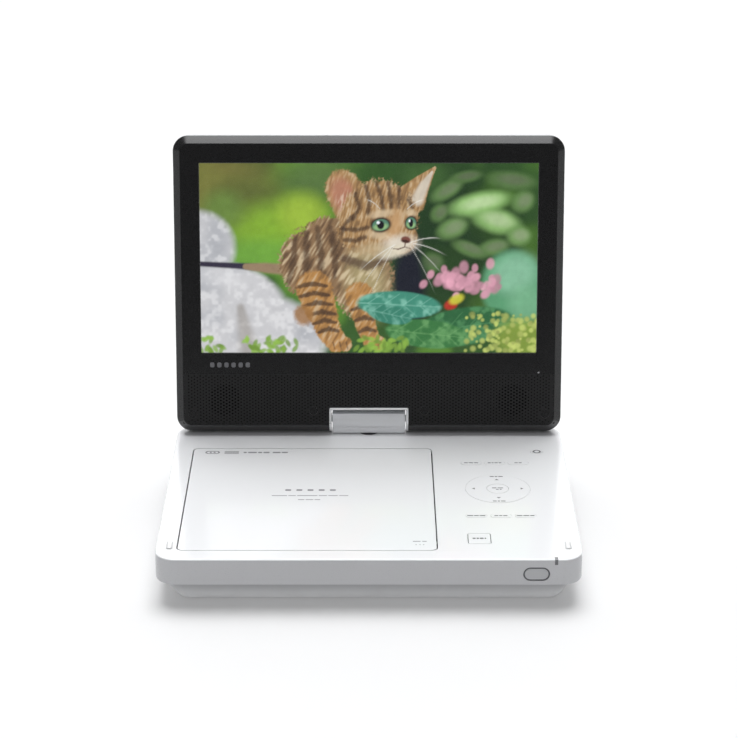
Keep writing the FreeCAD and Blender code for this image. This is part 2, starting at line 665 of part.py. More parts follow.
def make_switches():
    spots = [(key_spot(c), deep(row), "switch_top") for c in (-1, 0, 1) for row in ("upper_row", "lower_row")]
    spots += [(f"key_x + {x}", deep(f"nav_row + {y}"), "switch_top") for x, y in NAV_SPOTS]
    spots += [("key_x", deep("nav_row"), "switch_top - 0.9"), ("power_x", deep("power_y"), "switch_top - 0.9")]
    switches = []
    for i, (x, y, top) in enumerate(spots):
        case = block(f"switch_case_{i}", f"{x} - switch_wide / 2", f"{y} - switch_wide / 2", "board_top",
                     f"{x} + switch_wide / 2", f"{y} + switch_wide / 2", f"{top} - 0.7")
        switches.append(joined(f"switch_{i}", case,
                               cylinder(f"switch_plunger_{i}", x, y, f"{top} - 0.7", top, "1.2")))
    group("tact_switches", switches)


def make_boards():
    keys = new_body("key_board")
    pad(keys, "board_top - board_thick", "board_top",
        polygon(("46", deep("31.5")), ("70", deep("31.5")), ("70", deep("6.4")), ("91.5", deep("6.4")),
                ("91.5", deep("130")), ("103", deep("130")), ("103", deep("146")), ("46", deep("146"))))
    main = new_body("main_board")
    pad(main, "5.6", "7.2", rounded("-98", deep("26"), "38", deep("150"), "2"))
    side = new_body("side_board")
    floor = "jack_z - 4.8"
    pad(side, floor, f"{floor} + 1.2", rectangle("98.5", deep("33"), "110.5", deep("112")))
    pad(side, f"{floor} + 1.2", "jack_z + 2.8", circle("wheel_x", deep("wheel_y"), "1.5"))
    wheel = new_body("volume_wheel")
    pad(wheel, "jack_z - 1.2", "jack_z + 1.8", circle("wheel_x", deep("wheel_y"), "wheel_radius"))
    round_edges(wheel, "0.5", lambda box: box.ZLength < 0.01)
    cut(wheel, "jack_z - 1.2", "jack_z + 1.8", circle("wheel_x", deep("wheel_y"), "1.58"))


# ---------------------------------------------------------------- sockets, window, pads

def make_socket(body, y, half, nose, bore, depth):
    """A round socket in the right side: a block on the side board with a nose through the wall."""
    inside, outside = "base_width / 2 - wall", "base_width / 2"
    pad(body, "jack_z - 3.6", "jack_z + 3.6", rectangle("100", deep(f"{y} - {half}"), inside, deep(f"{y} + {half}")))
    pad(body, inside, outside, circle(deep(y), "jack_z", nose), along="x")
    cut(body, f"{outside} - {depth}", outside, circle(deep(y), "jack_z", bore), along="x")


def make_front_and_side():
    plate = new_body("jack_plate")
    front, rear, top = deep("jacks_front + 0.05"), deep("jacks_rear - 0.05"), "jacks_top - 0.05"
    pad(plate, "base_width / 2 - wall", "base_width / 2", rectangle(front, SPLIT, rear, top), along="x")
    pad(plate, "base_width / 2 - rim_inset + 0.05", "base_width / 2 - wall",
        rectangle(front, SPLIT, rear, f"{SPLIT} + rim"), along="x")
    cut(plate, "base_width / 2 - wall", "base_width / 2",
        *[circle(deep(y), "jack_z", "3.1") for y in (58, 72, 86)], circle(deep("104"), "jack_z", "3.6"), along="x")
    sockets = new_body("audio_jacks")
    sockets.AllowCompound = True
    for y in ("58", "72", "86"):
        make_socket(sockets, y, "4", "3", "1.8", "11")
    power = new_body("dc_jack")
    make_socket(power, "104", "4.5", "3.5", "2.75", "9.5")
    pad(power, "base_width / 2 - 9.5", "base_width / 2 - 1.5", circle(deep("104"), "jack_z", "0.65"), along="x")

    window = new_body("ir_window")
    pad(window, deep("0"), deep("wall"),
        pill("infrared_x", "top_plane - infrared_drop", "infrared_wide - 0.1", "infrared_tall - 0.1"), along="y")
    receiver = new_body("ir_receiver")
    pad(receiver, deep("2.4"), deep("6.4"),
        rectangle("infrared_x - 3", "top_plane - 11", "infrared_x + 2.4", "top_plane - 6.2"), along="y")
    pad(receiver, deep("2.1"), deep("2.4"), circle("infrared_x - 0.3", "top_plane - infrared_drop", "1.8"),
        along="y")
    pipe = new_body("led_light_pipe")
    pad(pipe, "pipe_x - pipe_wide / 2", "pipe_x + pipe_wide / 2", pipe_outline(), along="x")
    round_edges(pipe, "edge_round", lambda box: box.YLength < 0.01 and box.ZLength < 0.01
                and abs(box.YMin - value("front_y")) < 0.01 and box.ZMin > value("top_plane - 0.01"))
    pads = new_body("lid_pads")
    pads.AllowCompound = True
    pad(pads, "top_plane - 0.6", "top_plane + 0.5",
        *[rounded(f"{s} * pad_x - pad_wide / 2", deep("pad_front"), f"{s} * pad_x + pad_wide / 2",
                  deep("pad_rear"), "1.2") for s in SIDES])
    round_edges(pads, "0.3", level("top_plane + 0.5"))


# ---------------------------------------------------------------- hinge

def make_hinge():
    plate = new_body("swivel_base_plate")
    pad(plate, f"{PLATE_UNDER} - 1.7", PLATE_UNDER, rounded("-24", deep("149"), "24", deep("173"), "1.5"))
    cut(plate, f"{PLATE_UNDER} - 1.7", PLATE_UNDER, circle("0", AXIS_Y, "stem_radius + 0.05"),
        *[circle(x, deep(y), "1.25") for x in ("-19", "19") for y in ("154", "169")])

    stem = new_body("swivel_shaft")
    seat = "top_plane + block_gap"
    pad(stem, f"{PLATE_UNDER} - 1.9", seat, circle("0", AXIS_Y, "stem_radius"))
    pad(stem, f"{PLATE_UNDER} - 4.4", f"{PLATE_UNDER} - 1.9", circle("0", AXIS_Y, "stem_radius - 0.9"))
    pad(stem, f"{seat} - 0.5", seat, circle("0", AXIS_Y, "collar_radius"))
    cut(stem, f"{PLATE_UNDER} - 4.4", seat, circle("0", AXIS_Y, "1.9"))
    nut = new_body("swivel_nut")
    pad(nut, f"{PLATE_UNDER} - 3.9", f"{PLATE_UNDER} - 1.9", circle("0", AXIS_Y, "stem_radius + 0.5"))
    cut(nut, f"{PLATE_UNDER} - 3.9", f"{PLATE_UNDER} - 1.9", circle("0", AXIS_Y, "stem_radius - 0.9"))

    split = "top_plane + block_split"
    front, rear = f"{AXIS_Y} - block_reach", f"{AXIS_Y} + block_reach"
    in_front, in_rear = f"{front} + block_skin", f"{rear} - block_skin"
    lower = new_body("hinge_cover_lower")
    pad(lower, seat, split, rounded("-block_half", front, "block_half", rear, "0.8"))
    cut(lower, f"{seat} + 1.2", split, rounded("-block_half + 1.6", in_front, "block_half - 1.6", in_rear, "0.5"))
    cut(lower, seat, f"{seat} + 1.2", circle("0", AXIS_Y, "2.5"))
    round_edges(lower, "0.6", level(seat))

    upper = new_body("hinge_cover_upper")
    pad(upper, split, f"{AXIS_Z} + block_reach", rounded("-block_half", front, "block_half", rear, "0.8"))
    round_edges(upper, "block_reach - 0.02", lambda box: box.XLength > 40 and box.ZMin > value(AXIS_Z)
                and box.YLength < 0.01)
    cut(upper, split, AXIS_Z, rounded("-block_half + 1.6", in_front, "block_half - 1.6", in_rear, "0.5"))
    cut(upper, "-block_half + 1.6", "block_half - 1.6", circle(AXIS_Y, AXIS_Z, "block_reach - block_skin - 0.05"),
        along="x")
    cut(upper, "-block_half", "block_half", circle(AXIS_Y, AXIS_Z, "shaft_radius + 0.2"), along="x")

    bracket = new_body("tilt_bracket")
    half = "block_half - 2.1"
    pad(bracket, f"{seat} + 1.4", AXIS_Z,
        rectangle(f"-({half})", f"{AXIS_Y} - 3.2", half, f"{AXIS_Y} + 3.2"))
    pad(bracket, f"-({half})", half, circle(AXIS_Y, AXIS_Z, "3.4"), along="x")
    pad(bracket, seat, f"{seat} + 1.4", circle("0", AXIS_Y, "2.4"))
    cut(bracket, f"-({half})", half, circle(AXIS_Y, AXIS_Z, "shaft_radius + 0.05"), along="x")
    cut(bracket, seat, AXIS_Z, circle("0", AXIS_Y, "1.4"))


# ---------------------------------------------------------------- screen lid (drawn in the lid's frame)

LID_LOW, LID_HIGH = "-lid_below", "lid_height - lid_below"
CAPS = ((104.5, 4.0), (32.8, 6.0))
GRILLE_BACK = "lid_half - grille_thick"
BEZEL_BACK = "lid_half - bezel_skin"


def lid_outline(inset, radius):
    return rounded(f"-base_width / 2 + {inset}", f"{LID_LOW} + {inset}", f"base_width / 2 - {inset}",
                   f"{LID_HIGH} - {inset}", radius)


def cap_spots():
    return [(f"{side * x}", f"{y}") for x, y in CAPS for side in SIDES]


def notch(half, high):
    return rectangle(f"-({half})", f"{LID_LOW} - 1", half, high)


def make_bezel():
    bezel = on_lid(new_body("front_bezel"))
    pad(bezel, "lid_split", "lid_half", lid_outline("0", "lid_corner"))
    chamfer_edges(bezel, "lid_chamfer", level("lid_half"))
    cut(bezel, "lid_split", BEZEL_BACK, lid_outline("bezel_inset", "lid_corner - bezel_inset"))
    cut(bezel, GRILLE_BACK, "lid_half",
        rounded("-grille_half", "grille_low", "grille_half", "grille_high", "0.3"))
    cut(bezel, BEZEL_BACK, "lid_half",
        rectangle("-screen_half", "screen_low", "screen_half", "screen_high"),
        circle("led_x", "led_y", "0.55"))
    cut(bezel, BEZEL_BACK, GRILLE_BACK,
        *[circle(f"{s} * speaker_x", "speaker_y", "speaker_radius + 0.4") for s in SIDES],
        *[circle(x, y, "1.1") for x, y in cap_spots()])
    cut(bezel, "lid_half - 1.4", GRILLE_BACK, *[circle(x, y, "2.1") for x, y in cap_spots()])
    cut(bezel, "lid_split", "lid_half", notch("notch_half + notch_lip", "notch_high + notch_lip - 0.1"))


def make_rear_cover():
    cover = on_lid(new_body("rear_cover"))
    lip, lip_high = "notch_half + notch_lip", "notch_high + notch_lip - 0.1"
    pad(cover, "-lid_half", "lid_split", lid_outline("0", "lid_corner"))
    pad(cover, "lid_split", "lid_half", rectangle(f"-({lip})", LID_LOW, lip, lip_high))
    chamfer_edges(cover, "lid_chamfer", lambda box: level("lid_half")(box) and box.YMax < value(f"{LID_LOW} + 0.01"))
    round_edges(cover, "lid_rear_round", level("-lid_half"))
    inset = "wall"
    left, right = f"-base_width / 2 + {inset}", f"base_width / 2 - {inset}"
    low, high = f"{LID_LOW} + {inset} + 1.2", f"{LID_HIGH} - {inset}"
    corner = "6"
    cut(cover, "-lid_half + wall", "lid_split",
        polygon((f"{left} + {corner}", low), (f"-({lip})", low), (f"-({lip})", lip_high), (lip, lip_high),
                (lip, low), (f"{right} - {corner}", low), (right, f"{low} + {corner}"),
                (right, f"{high} - {corner}"), (f"{right} - {corner}", high), (f"{left} + {corner}", high),
                (left, f"{high} - {corner}"), (left, f"{low} + {corner}")))
    cut(cover, "-lid_half", "lid_half", notch("notch_half", "notch_high"))
    pad(cover, "-lid_half + wall", BEZEL_BACK, *[circle(x, y, "2.6") for x, y in cap_spots()])
    cut(cover, "-lid_half + wall + 1.5", BEZEL_BACK, *[circle(x, y, "1.05") for x, y in cap_spots()])
    cut(cover, "-26", "26", circle("0", "0", "shaft_radius + 0.1"), along="x")


def make_grille():
    """A thin panel with two round fields of holes, on a triangular grid; too many holes for a sketch."""
    size = {name: value(name) for name in ("grille_half", "grille_low", "grille_high", "grille_thick",
                                           "speaker_x", "speaker_y", "speaker_radius", "hole_pitch",
                                           "hole_radius", "cap_radius", "lid_half", "notch_half",
                                           "notch_lip", "notch_high")}
    gap = 0.1
    low = size["lid_half"] - size["grille_thick"]
    thick = size["grille_thick"]
    panel = Part.makeBox(2 * (size["grille_half"] - gap), size["grille_high"] - size["grille_low"] - 2 * gap,
                         thick, FreeCAD.Vector(gap - size["grille_half"], size["grille_low"] + gap, low))
    column = size["hole_pitch"] * math.sqrt(3) / 2
    reach = size["speaker_radius"] - size["hole_radius"]
    steps = int(reach / column) + 1
    holes = []
    for side in SIDES:
        for i in range(-steps, steps + 1):
            for j in range(-steps, steps + 1):
                x, y = i * column, (j + 0.5 * (i % 2)) * size["hole_pitch"]
                if math.hypot(x, y) <= reach:
                    spot = FreeCAD.Vector(side * size["speaker_x"] + x, size["speaker_y"] + y, low)
                    holes.append(Part.makeCylinder(size["hole_radius"], thick, spot))
    for x, y in cap_spots():
        holes.append(Part.makeCylinder(size["cap_radius"] + 0.1, thick, FreeCAD.Vector(float(x), float(y), low)))
    half = size["notch_half"] + size["notch_lip"] + gap
    top = size["notch_high"] + size["notch_lip"]
    holes.append(Part.makeBox(2 * half, top - size["grille_low"] + 1, thick,
                              FreeCAD.Vector(-half, size["grille_low"] - 1, low)))
    grille = doc.addObject("Part::Feature", "speaker_grille")
    grille.Shape = panel.cut(holes)
    on_lid(node(grille, "speaker_grille"))


def make_lid_inside():
    panel = on_lid(new_body("lcd_panel"))
    pad(panel, f"{BEZEL_BACK} - 3.8", BEZEL_BACK,
        rounded("-screen_half - 4.5", "screen_low - 5", "screen_half + 4.5", "screen_high + 4.2", "1"))
    glass = on_lid(new_body("lcd_glass"))
    pad(glass, BEZEL_BACK, "lid_half - glass_step",
        rectangle("-screen_half + glass_gap", "screen_low + glass_gap", "screen_half - glass_gap",
                  "screen_high - glass_gap"))
    board = on_lid(new_body("lcd_board"))
    pad(board, "-lid_half + 3.6", "-lid_half + 5", rounded("-62", "52", "62", "118", "2"))
    pad(board, "-lid_half + 5", "-lid_half + 7.4", rectangle("-50", "60", "-20", "76"),
        rectangle("-6", "78", "8", "92"), rectangle("24", "64", "52", "70"))

    speakers = on_lid(new_body("speakers"))
    speakers.AllowCompound = True
    for side in SIDES:
        spot = (f"{side} * speaker_x", "speaker_y")
        pad(speakers, f"{BEZEL_BACK} - 4.2", BEZEL_BACK, circle(*spot, "speaker_radius + 1.2"))
        pad(speakers, f"{BEZEL_BACK} - 8", f"{BEZEL_BACK} - 4.2", circle(*spot, "6"))
    for side in SIDES:
        cut(speakers, f"{BEZEL_BACK} - 1", BEZEL_BACK, circle(f"{side} * speaker_x", "speaker_y",
                                                            "speaker_radius - 0.6"))

    shafts = on_lid(new_body("tilt_shafts"))
    shafts.AllowCompound = True
    for side in SIDES:
        x0, x1 = sorted((side * 10, side * 29.4))
        leaf0, leaf1 = sorted((side * 24.2, side * 29.4))
        pad(shafts, str(x0), str(x1), circle("0", "0", "shaft_radius"), along="x")
        pad(shafts, "-2", "-0.5", rectangle(str(leaf0), "-1", str(leaf1), "21"))

    heads = [joined(f"lid_screw_{i}", cylinder(f"lid_screw_head_{i}", x, y, "lid_half - 1.4", "lid_half - 0.6", "2"),
                    cylinder(f"lid_screw_shank_{i}", x, y, "-lid_half + 4", "lid_half - 1.4", "1"))
             for i, (x, y) in enumerate(cap_spots())]
    on_lid(group("lid_screws", heads))
    on_lid(group("screw_caps", [cylinder(f"screw_cap_{i}", x, y, "lid_half - 0.6", "lid_half + 0.05", "cap_radius")
                                for i, (x, y) in enumerate(cap_spots())]))
    led = on_lid(new_body("lid_led"))
    pad(led, BEZEL_BACK, "lid_half + 0.02", circle("led_x", "led_y", "0.5"))


# ---------------------------------------------------------------- build, check and write

make_top_cover()
make_bottom_case()
make_base_hardware()
make_disc_well()
make_traverse()
make_disc_door()
make_keys()
make_switches()
make_boards()
make_front_and_side()
make_hinge()
make_bezel()
make_rear_cover()
make_grille()
make_lid_inside()
doc.recompute()

faults = [f"{thing.Label}: {thing.State}" for thing in doc.Objects
          if "Invalid" in thing.State or "Error" in thing.State]
faults += [f"{thing.Label}: bad shape" for thing in NODES if thing.Shape.isNull() or not thing.Shape.isValid()]
if faults:
    raise RuntimeError("; ".join(faults))
os.makedirs("parts", exist_ok=True)
for thing in NODES:
    thing.Shape.exportStep(f"parts/{thing.Label}.step")
box = Part.makeCompound([thing.Shape for thing in NODES]).optimalBoundingBox(False)
print(f"{len(NODES)} nodes, {box.XLength:.2f} x {box.YLength:.2f} x {box.ZLength:.2f} mm,"
      f" middle at X {box.Center.x:.3f}, Y {box.Center.y:.3f}, lowest Z {box.ZMin:.3f}")
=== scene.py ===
import json
import math

import bmesh
import bpy
import numpy as np
from mathutils import Matrix, Vector
from mathutils.geometry import tessellate_polygon


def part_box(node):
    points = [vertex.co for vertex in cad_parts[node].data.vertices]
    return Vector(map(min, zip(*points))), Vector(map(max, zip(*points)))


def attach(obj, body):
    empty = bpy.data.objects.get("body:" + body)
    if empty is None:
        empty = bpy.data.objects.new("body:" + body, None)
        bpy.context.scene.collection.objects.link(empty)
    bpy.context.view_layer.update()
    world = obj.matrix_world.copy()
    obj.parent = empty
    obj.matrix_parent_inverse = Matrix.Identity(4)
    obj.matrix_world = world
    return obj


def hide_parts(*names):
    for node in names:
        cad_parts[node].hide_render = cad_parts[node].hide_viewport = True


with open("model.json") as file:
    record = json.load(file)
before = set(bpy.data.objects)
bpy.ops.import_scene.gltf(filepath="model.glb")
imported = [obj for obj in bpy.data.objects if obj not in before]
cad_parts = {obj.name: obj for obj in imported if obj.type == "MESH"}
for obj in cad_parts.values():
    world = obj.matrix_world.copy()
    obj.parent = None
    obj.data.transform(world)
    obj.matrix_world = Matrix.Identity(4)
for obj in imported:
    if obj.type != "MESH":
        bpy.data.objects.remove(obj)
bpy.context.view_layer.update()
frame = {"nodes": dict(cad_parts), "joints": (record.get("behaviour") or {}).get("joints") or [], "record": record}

# A portable disc player, lid open. Lengths are in millimetres; a piece's become metres when it is finished.
# Base pieces are drawn in the player's own frame. Lid pieces are drawn in the lid's frame: origin on the
# tilt axis, y up the lid, z out of the screen.

MM = 0.001
# The studio's light: its strengths, and the floor's paint and glow near the player and far in front of it.
OVERHEAD, BACKLIGHT, FRONT_LIGHT, FRONT_FILL, REAR_FILL = 7.35, 1.2, 0.70, 0.12, 0.40
FLOOR_PAINT, FLOOR_GLOW, FLOOR_FAR = 0.70, 0.10, 0.02
DARK_BEFORE, PALE_AFTER = -1.3, -0.65                        # metres from the player, along y
FLOOR_CORNERS = ((-6, -7), (6, -7), (6, 8), (-6, 8))         # metres
CAMERA_AWAY, CAMERA_UP, CAMERA_DOWN = 1072.6, 550.2, 22.35   # from the front edge, over the top, and degrees
CAMERA_ASIDE, CAMERA_LENS = 0.1, 110.7


def millimetres(node):
    low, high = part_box(node)
    return low / MM, high / MM


COVER_LOW, COVER_HIGH = millimetres("base_top_cover")
LEFT, RIGHT = COVER_LOW.x, COVER_HIGH.x
FRONT, REAR = COVER_LOW.y, COVER_HIGH.y
DROP = 0.7                       # the case's lower edges hang this far below the plain solids
SPLIT, TOP = COVER_LOW.z - DROP, COVER_HIGH.z
FLOOR_OF_CASE = millimetres("base_bottom_case")[0].z - DROP
GRAIN_DEPTH = 0.05               # the relief in a moulded surface
SHARP = math.radians(32)         # edges that turn more than this stay crisp
PLATE = 2.2                      # thickness of the top cover's plate
WALL = 2.0                       # thickness of the walls
PLAN_CORNER = 11.4               # radius of the base's corners, seen from above
AXIS = Vector(next(j["pos_m"] for j in frame["joints"] if j["name"] == "lid_tilt")) / MM
LEAN = 11.1                      # degrees that the open lid leans back
LID_LOW, LID_HIGH = -7.0, 168.8  # its lower and upper edges
LID_HALF = 7.1                   # half its thickness
LID_CORNER = 9.0
CHAMFER = 4.2                    # cut round the lid's face
NOTCH_HALF, NOTCH_TOP, LIP = 22.15, 6.6, 1.3     # the notch for the hinge, and its white rim's width
SCREEN = (-99.0, 40.8, 99.0, 153.3)      # left, low, right, high, as for the panel below it
GRILLE = (-109.3, -1.7, 109.3, 28.2)
GRILLE_CUT = 2.4                 # the panel's lower corners are cut across by this much
SPEAKER_X, SPEAKER_Y, SPEAKER_R = 85.2, 12.4, 9.25
CAPS = [(side * x, y) for side in (-1, 1) for x, y in ((104.5, 4.0), (32.8, 6.0))]
BEZEL_BACK = 5.1                 # where the front frame ends round the screen
DOOR_GAP = 0.6                   # round the disc door
PLATE_GAP = 0.05                 # round the socket plate
KEY_TOP = TOP + 0.1

TO_METRES = Matrix.Scale(MM, 4)
ON_LID = Matrix.Translation(AXIS * MM) @ Matrix.Rotation(math.radians(90 - LEAN), 4, "X") @ TO_METRES


# ---------------------------------------------------------------- outlines

def arc(cx, cy, radius, start, end, steps):
    turns = [math.radians(start + (end - start) * i / steps) for i in range(steps + 1)]
    return [(cx + radius * math.cos(t), cy + radius * math.sin(t)) for t in turns]


def round_rect(left, front, right, rear, radius, inset=0.0, steps=8):
    """A rectangle with round corners, drawn this far inside its outline, anticlockwise from the front."""
    r = max(radius - inset, 0.02)
    x0, y0, x1, y1 = left + inset + r, front + inset + r, right - inset - r, rear - inset - r
    return (arc(x1, y0, r, -90, 0, steps) + arc(x1, y1, r, 0, 90, steps)
            + arc(x0, y1, r, 90, 180, steps) + arc(x0, y0, r, 180, 270, steps))


def ring(cx, cy, radius, steps=40):
    return arc(cx, cy, radius, 0, 360 - 360 / steps, steps - 1)


def pill(cx, cy, wide, deep, inset=0.0):
    return round_rect(cx - wide / 2, cy - deep / 2, cx + wide / 2, cy + deep / 2,
                      min(wide, deep) / 2 - 0.01, inset)


def level(points, z):
    return [(x, y, z) for x, y in points]


def rim(radius, z, down=True, steps=4):
    """(inset, z) round an edge: from the flat face to the side, or the other way up."""
    turns = [math.pi / 2 * i / steps for i in range(steps + 1)]
    sign = -1 if down else 1
    path = [(radius * (1 - math.sin(t)), z + sign * radius * (1 - math.cos(t))) for t in turns]
    return path if down else path[::-1]


def slab(outline, top, bottom, top_round=0.3, bottom_round=0.0, steps=4):
    """Rings of a flat piece, from its top face's edge to its bottom face's edge."""
    path = rim(top_round, top, True, steps)
    path += rim(bottom_round, bottom, False, steps) if bottom_round else [(0.0, bottom)]
    return [level(outline(inset), z) for inset, z in path]


def hole(outline, top, bottom, top_round=0.15, steps=2):
    """Rings of a hole through a flat piece; it widens at its rounded mouth."""
    return [level(outline(-inset), z) for inset, z in rim(top_round, top, True, steps) + [(0.0, bottom)]]


# ---------------------------------------------------------------- building

def even_shading(piece):
    piece.modifiers.new("even_shading", "WEIGHTED_NORMAL").keep_sharp = True


class Solids:
    """Closed solids that make one piece."""

    def __init__(self, mesh=None):
        self.mesh = mesh or bmesh.new()

    def cap(self, outer, inner):
        loops = [outer] + inner
        if not inner:
            self.mesh.faces.new(outer)
            return
        corners = [v for loop in loops for v in loop]
        for face in tessellate_polygon([[v.co for v in loop] for loop in loops]):
            if len(set(face)) == 3:
                self.mesh.faces.new([corners[i] for i in face])

    def add(self, rings, holes=()):
        """A solid from rings of points, closed by a face at each end, with holes right through."""
        before = len(self.mesh.faces)
        ends = []
        for path in [rings] + list(holes):
            loops = [[self.mesh.verts.new(p) for p in points] for points in path]
            for a, b in zip(loops, loops[1:]):
                for i in range(len(a)):
                    j = (i + 1) % len(a)
                    self.mesh.faces.new((a[i], a[j], b[j], b[i]))
            ends.append((loops[0], loops[-1]))
        for end in (0, 1):
            self.cap(ends[0][end], [pair[end] for pair in ends[1:]])
        self.mesh.faces.ensure_lookup_table()
        bmesh.ops.recalc_face_normals(self.mesh, faces=self.mesh.faces[before:])
        return self

    def finish(self, name, body, finishes, where=TO_METRES, stands_for=(), paint=None, even=True):
        """The piece itself, with its materials, on its body."""
        if paint:
            for face in self.mesh.faces:
                face.material_index = paint(face.calc_center_median(), face.normal)
        for face in self.mesh.faces:
            face.smooth = True
        data = bpy.data.meshes.new(name)
        self.mesh.to_mesh(data)
        self.mesh.free()
        data.transform(where)
        data.set_sharp_from_angle(angle=SHARP)
        piece = bpy.data.objects.new(name, data)
        bpy.context.scene.collection.objects.link(piece)
        for finish in finishes:
            data.materials.append(finish)
        if even:
            even_shading(piece)
        if body:
            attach(piece, body)
            if stands_for:
                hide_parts(*stands_for)
        return piece


def carve(piece, cutters):
    """Cut closed solids out of a piece, for good."""
    piece.modifiers.clear()
    for i, solid in enumerate(cutters):
        modifier = piece.modifiers.new(f"carve_{i}", "BOOLEAN")
        modifier.operation = "DIFFERENCE"
        modifier.solver = "EXACT"
        modifier.object = solid
    bpy.context.view_layer.update()
    evaluated = piece.evaluated_get(bpy.context.evaluated_depsgraph_get())
    data = bpy.data.meshes.new_from_object(evaluated)
    piece.modifiers.clear()
    piece.data = data
    data.set_sharp_from_angle(angle=SHARP)
    even_shading(piece)
    for solid in cutters:
        bpy.data.objects.remove(solid)


# ---------------------------------------------------------------- materials

class Wiring:
    """The nodes of a material or of the world. An input takes a value, a colour or another node's output."""

    def __init__(self, owner):
        owner.use_nodes = True
        self.owner, self.nodes, self.links = owner, owner.node_tree.nodes, owner.node_tree.links

    def feed(self, node, inputs):
        for key, value in inputs.items():
            socket = node.inputs[key]
            if isinstance(value, bpy.types.NodeSocket):
                self.links.new(value, socket)
            else:
                socket.default_value = (*value, 1) if socket.type == "RGBA" else value

    def skin(self, inputs):
        """Sets the material's surface, and returns the material."""
        self.feed(self.nodes["Principled BSDF"], inputs)
        return self.owner

    def add(self, kind, output, inputs=(), **settings):
        """A new node; returns the output that has this name."""
        node = self.nodes.new(kind)
        for key, value in settings.items():
            setattr(node, key, value)
        self.feed(node, dict(inputs))
        return node.outputs[output]

    def place(self):
        return self.add("ShaderNodeTexCoord", "Object")

    def noise(self, place, scale, detail=3.0, rough=0.5):
        return self.add("ShaderNodeTexNoise", "Fac", {"Scale": scale, "Detail": detail, "Roughness": rough,
                                                      "Vector": place})

    def ramp(self, value, start, end, low=0.0, high=1.0, kind="SMOOTHSTEP"):
        """Goes from low to high while the value goes from start to end."""
        limits = {"From Min": start, "From Max": end, "To Min": low, "To Max": high, "Value": value}
        return self.add("ShaderNodeMapRange", "Result", limits, interpolation_type=kind)

    def spread(self, value, low, high):
        """Map a noise, which keeps to the middle of 0 to 1, on to a range."""
        return self.ramp(value, 0.3, 0.7, low, high, "LINEAR")

    def mix(self, amount, first, second):
        """Blend two colours."""
        return self.add("ShaderNodeMix", "Result", {"Factor": amount, "A": first, "B": second},
                        data_type="RGBA")


def new_material(name):
    return Wiring(bpy.data.materials.new(name))


def moulded(name, colour, roughness, drift=0.03, grain=900.0, bump=0.05, coat=0.0, metal=0.0,
            stretch=(1, 1, 1), shine=0.5, foot=None):
    """A moulded or painted surface: broad colour drift, fine grain in relief, and uneven gloss.
    A foot colour takes over towards the bottom of the base's lower case: painted bounce light off the table."""
    look = new_material(name)
    place = look.place()
    stretched = look.add("ShaderNodeMapping", "Vector", {"Scale": stretch, "Vector": place})
    fine = look.noise(stretched, grain, 4.0, 0.6)
    broad = look.noise(place, 18.0)
    darker = tuple(c * (1 - drift) for c in colour)
    lighter = tuple(min(c * (1 + drift), 1.0) for c in colour)
    tone = look.mix(broad, darker, lighter)
    # painted light: the foot colour lightens the lower case towards its bottom, as bounce light off the table
    # would
    if foot:
        height = look.add("ShaderNodeSeparateXYZ", "Z", {"Vector": place})
        tone = look.mix(look.ramp(height, FLOOR_OF_CASE * MM, SPLIT * MM), foot, tone)
    gloss = look.spread(fine, roughness * 0.85, min(roughness * 1.15, 1.0))
    relief = look.add("ShaderNodeBump", "Normal",
                      {"Strength": bump, "Distance": GRAIN_DEPTH * MM, "Height": fine})
    return look.skin({"Base Color": tone, "Roughness": gloss, "Normal": relief, "Metallic": metal,
                      "Specular IOR Level": shine, "Coat Weight": coat, "Coat Roughness": 0.05})


def see_through(name, colour, roughness, alpha):
    """A smoked clear moulding with faint cloudiness."""
    look = new_material(name)
    cloud = look.noise(look.place(), 140.0)
    tone = look.mix(cloud, tuple(c * 0.9 for c in colour), colour)
    gloss = look.spread(cloud, roughness * 0.8, roughness * 1.2)
    return look.skin({"Base Color": tone, "Roughness": gloss, "Alpha": alpha, "Coat Weight": 0.6})


def lit_picture():
    """The lit panel: its own colours, under a clear satin film."""
    look = new_material("lit_picture")
    picture = look.add("ShaderNodeVertexColor", "Color", layer_name="picture")
    gloss = look.spread(look.noise(look.place(), 2500.0), 0.22, 0.3)
    return look.skin({"Base Color": (0.006, 0.006, 0.006), "Emission Color": picture,
                      "Emission Strength": 1.0, "Roughness": gloss})


WHITE = moulded("white_gloss", (0.86, 0.865, 0.88), 0.16, drift=0.008, grain=320.0, bump=0.02, coat=0.4)
# The lower case's white, darkened to 0.40, is painted shade under the cover's overhang; its near-white foot colour
# is painted bounce light.
CASE_WHITE = moulded("case_white_painted_shade_and_bounce", (0.40, 0.403, 0.414), 0.36, drift=0.015, grain=2600.0, bump=0.12,
                     foot=(0.97, 0.975, 0.985))
# A darker copy of the gloss white: painted shade, on the cover's walls, the socket plate and the lid's back.
SHADED_WHITE = moulded("white_painted_shade", (0.57, 0.573, 0.59), 0.3, drift=0.01, grain=1600.0, bump=0.05, coat=0.15)
LID_BLACK = moulded("lid_black", (0.0085, 0.0085, 0.009), 0.27, drift=0.08, grain=2400.0, shine=0.36)
# A lighter copy of the lid's black: painted reflection of the white base top, for the lid's lower chamfer.
LID_BLACK_REFLECTION = moulded("lid_black_painted_reflection", (0.04, 0.04, 0.041), 0.3, drift=0.08, grain=2400.0)
GRILLE_BLACK = moulded("grille_black", (0.0135, 0.0135, 0.0138), 0.42, drift=0.08, grain=2200.0, bump=0.1,
                       shine=0.32)
# Near-black for the grille's speaker holes and dimples: painted shade in these recesses.
PIT_SHADE = moulded("pit_painted_shade", (0.0012, 0.0012, 0.0013), 0.8, drift=0.08, grain=2200.0, shine=0.03)
DIMPLE_SHADE = moulded("dimple_painted_shade", (0.003, 0.003, 0.0031), 0.7, drift=0.08, grain=2200.0, shine=0.08)
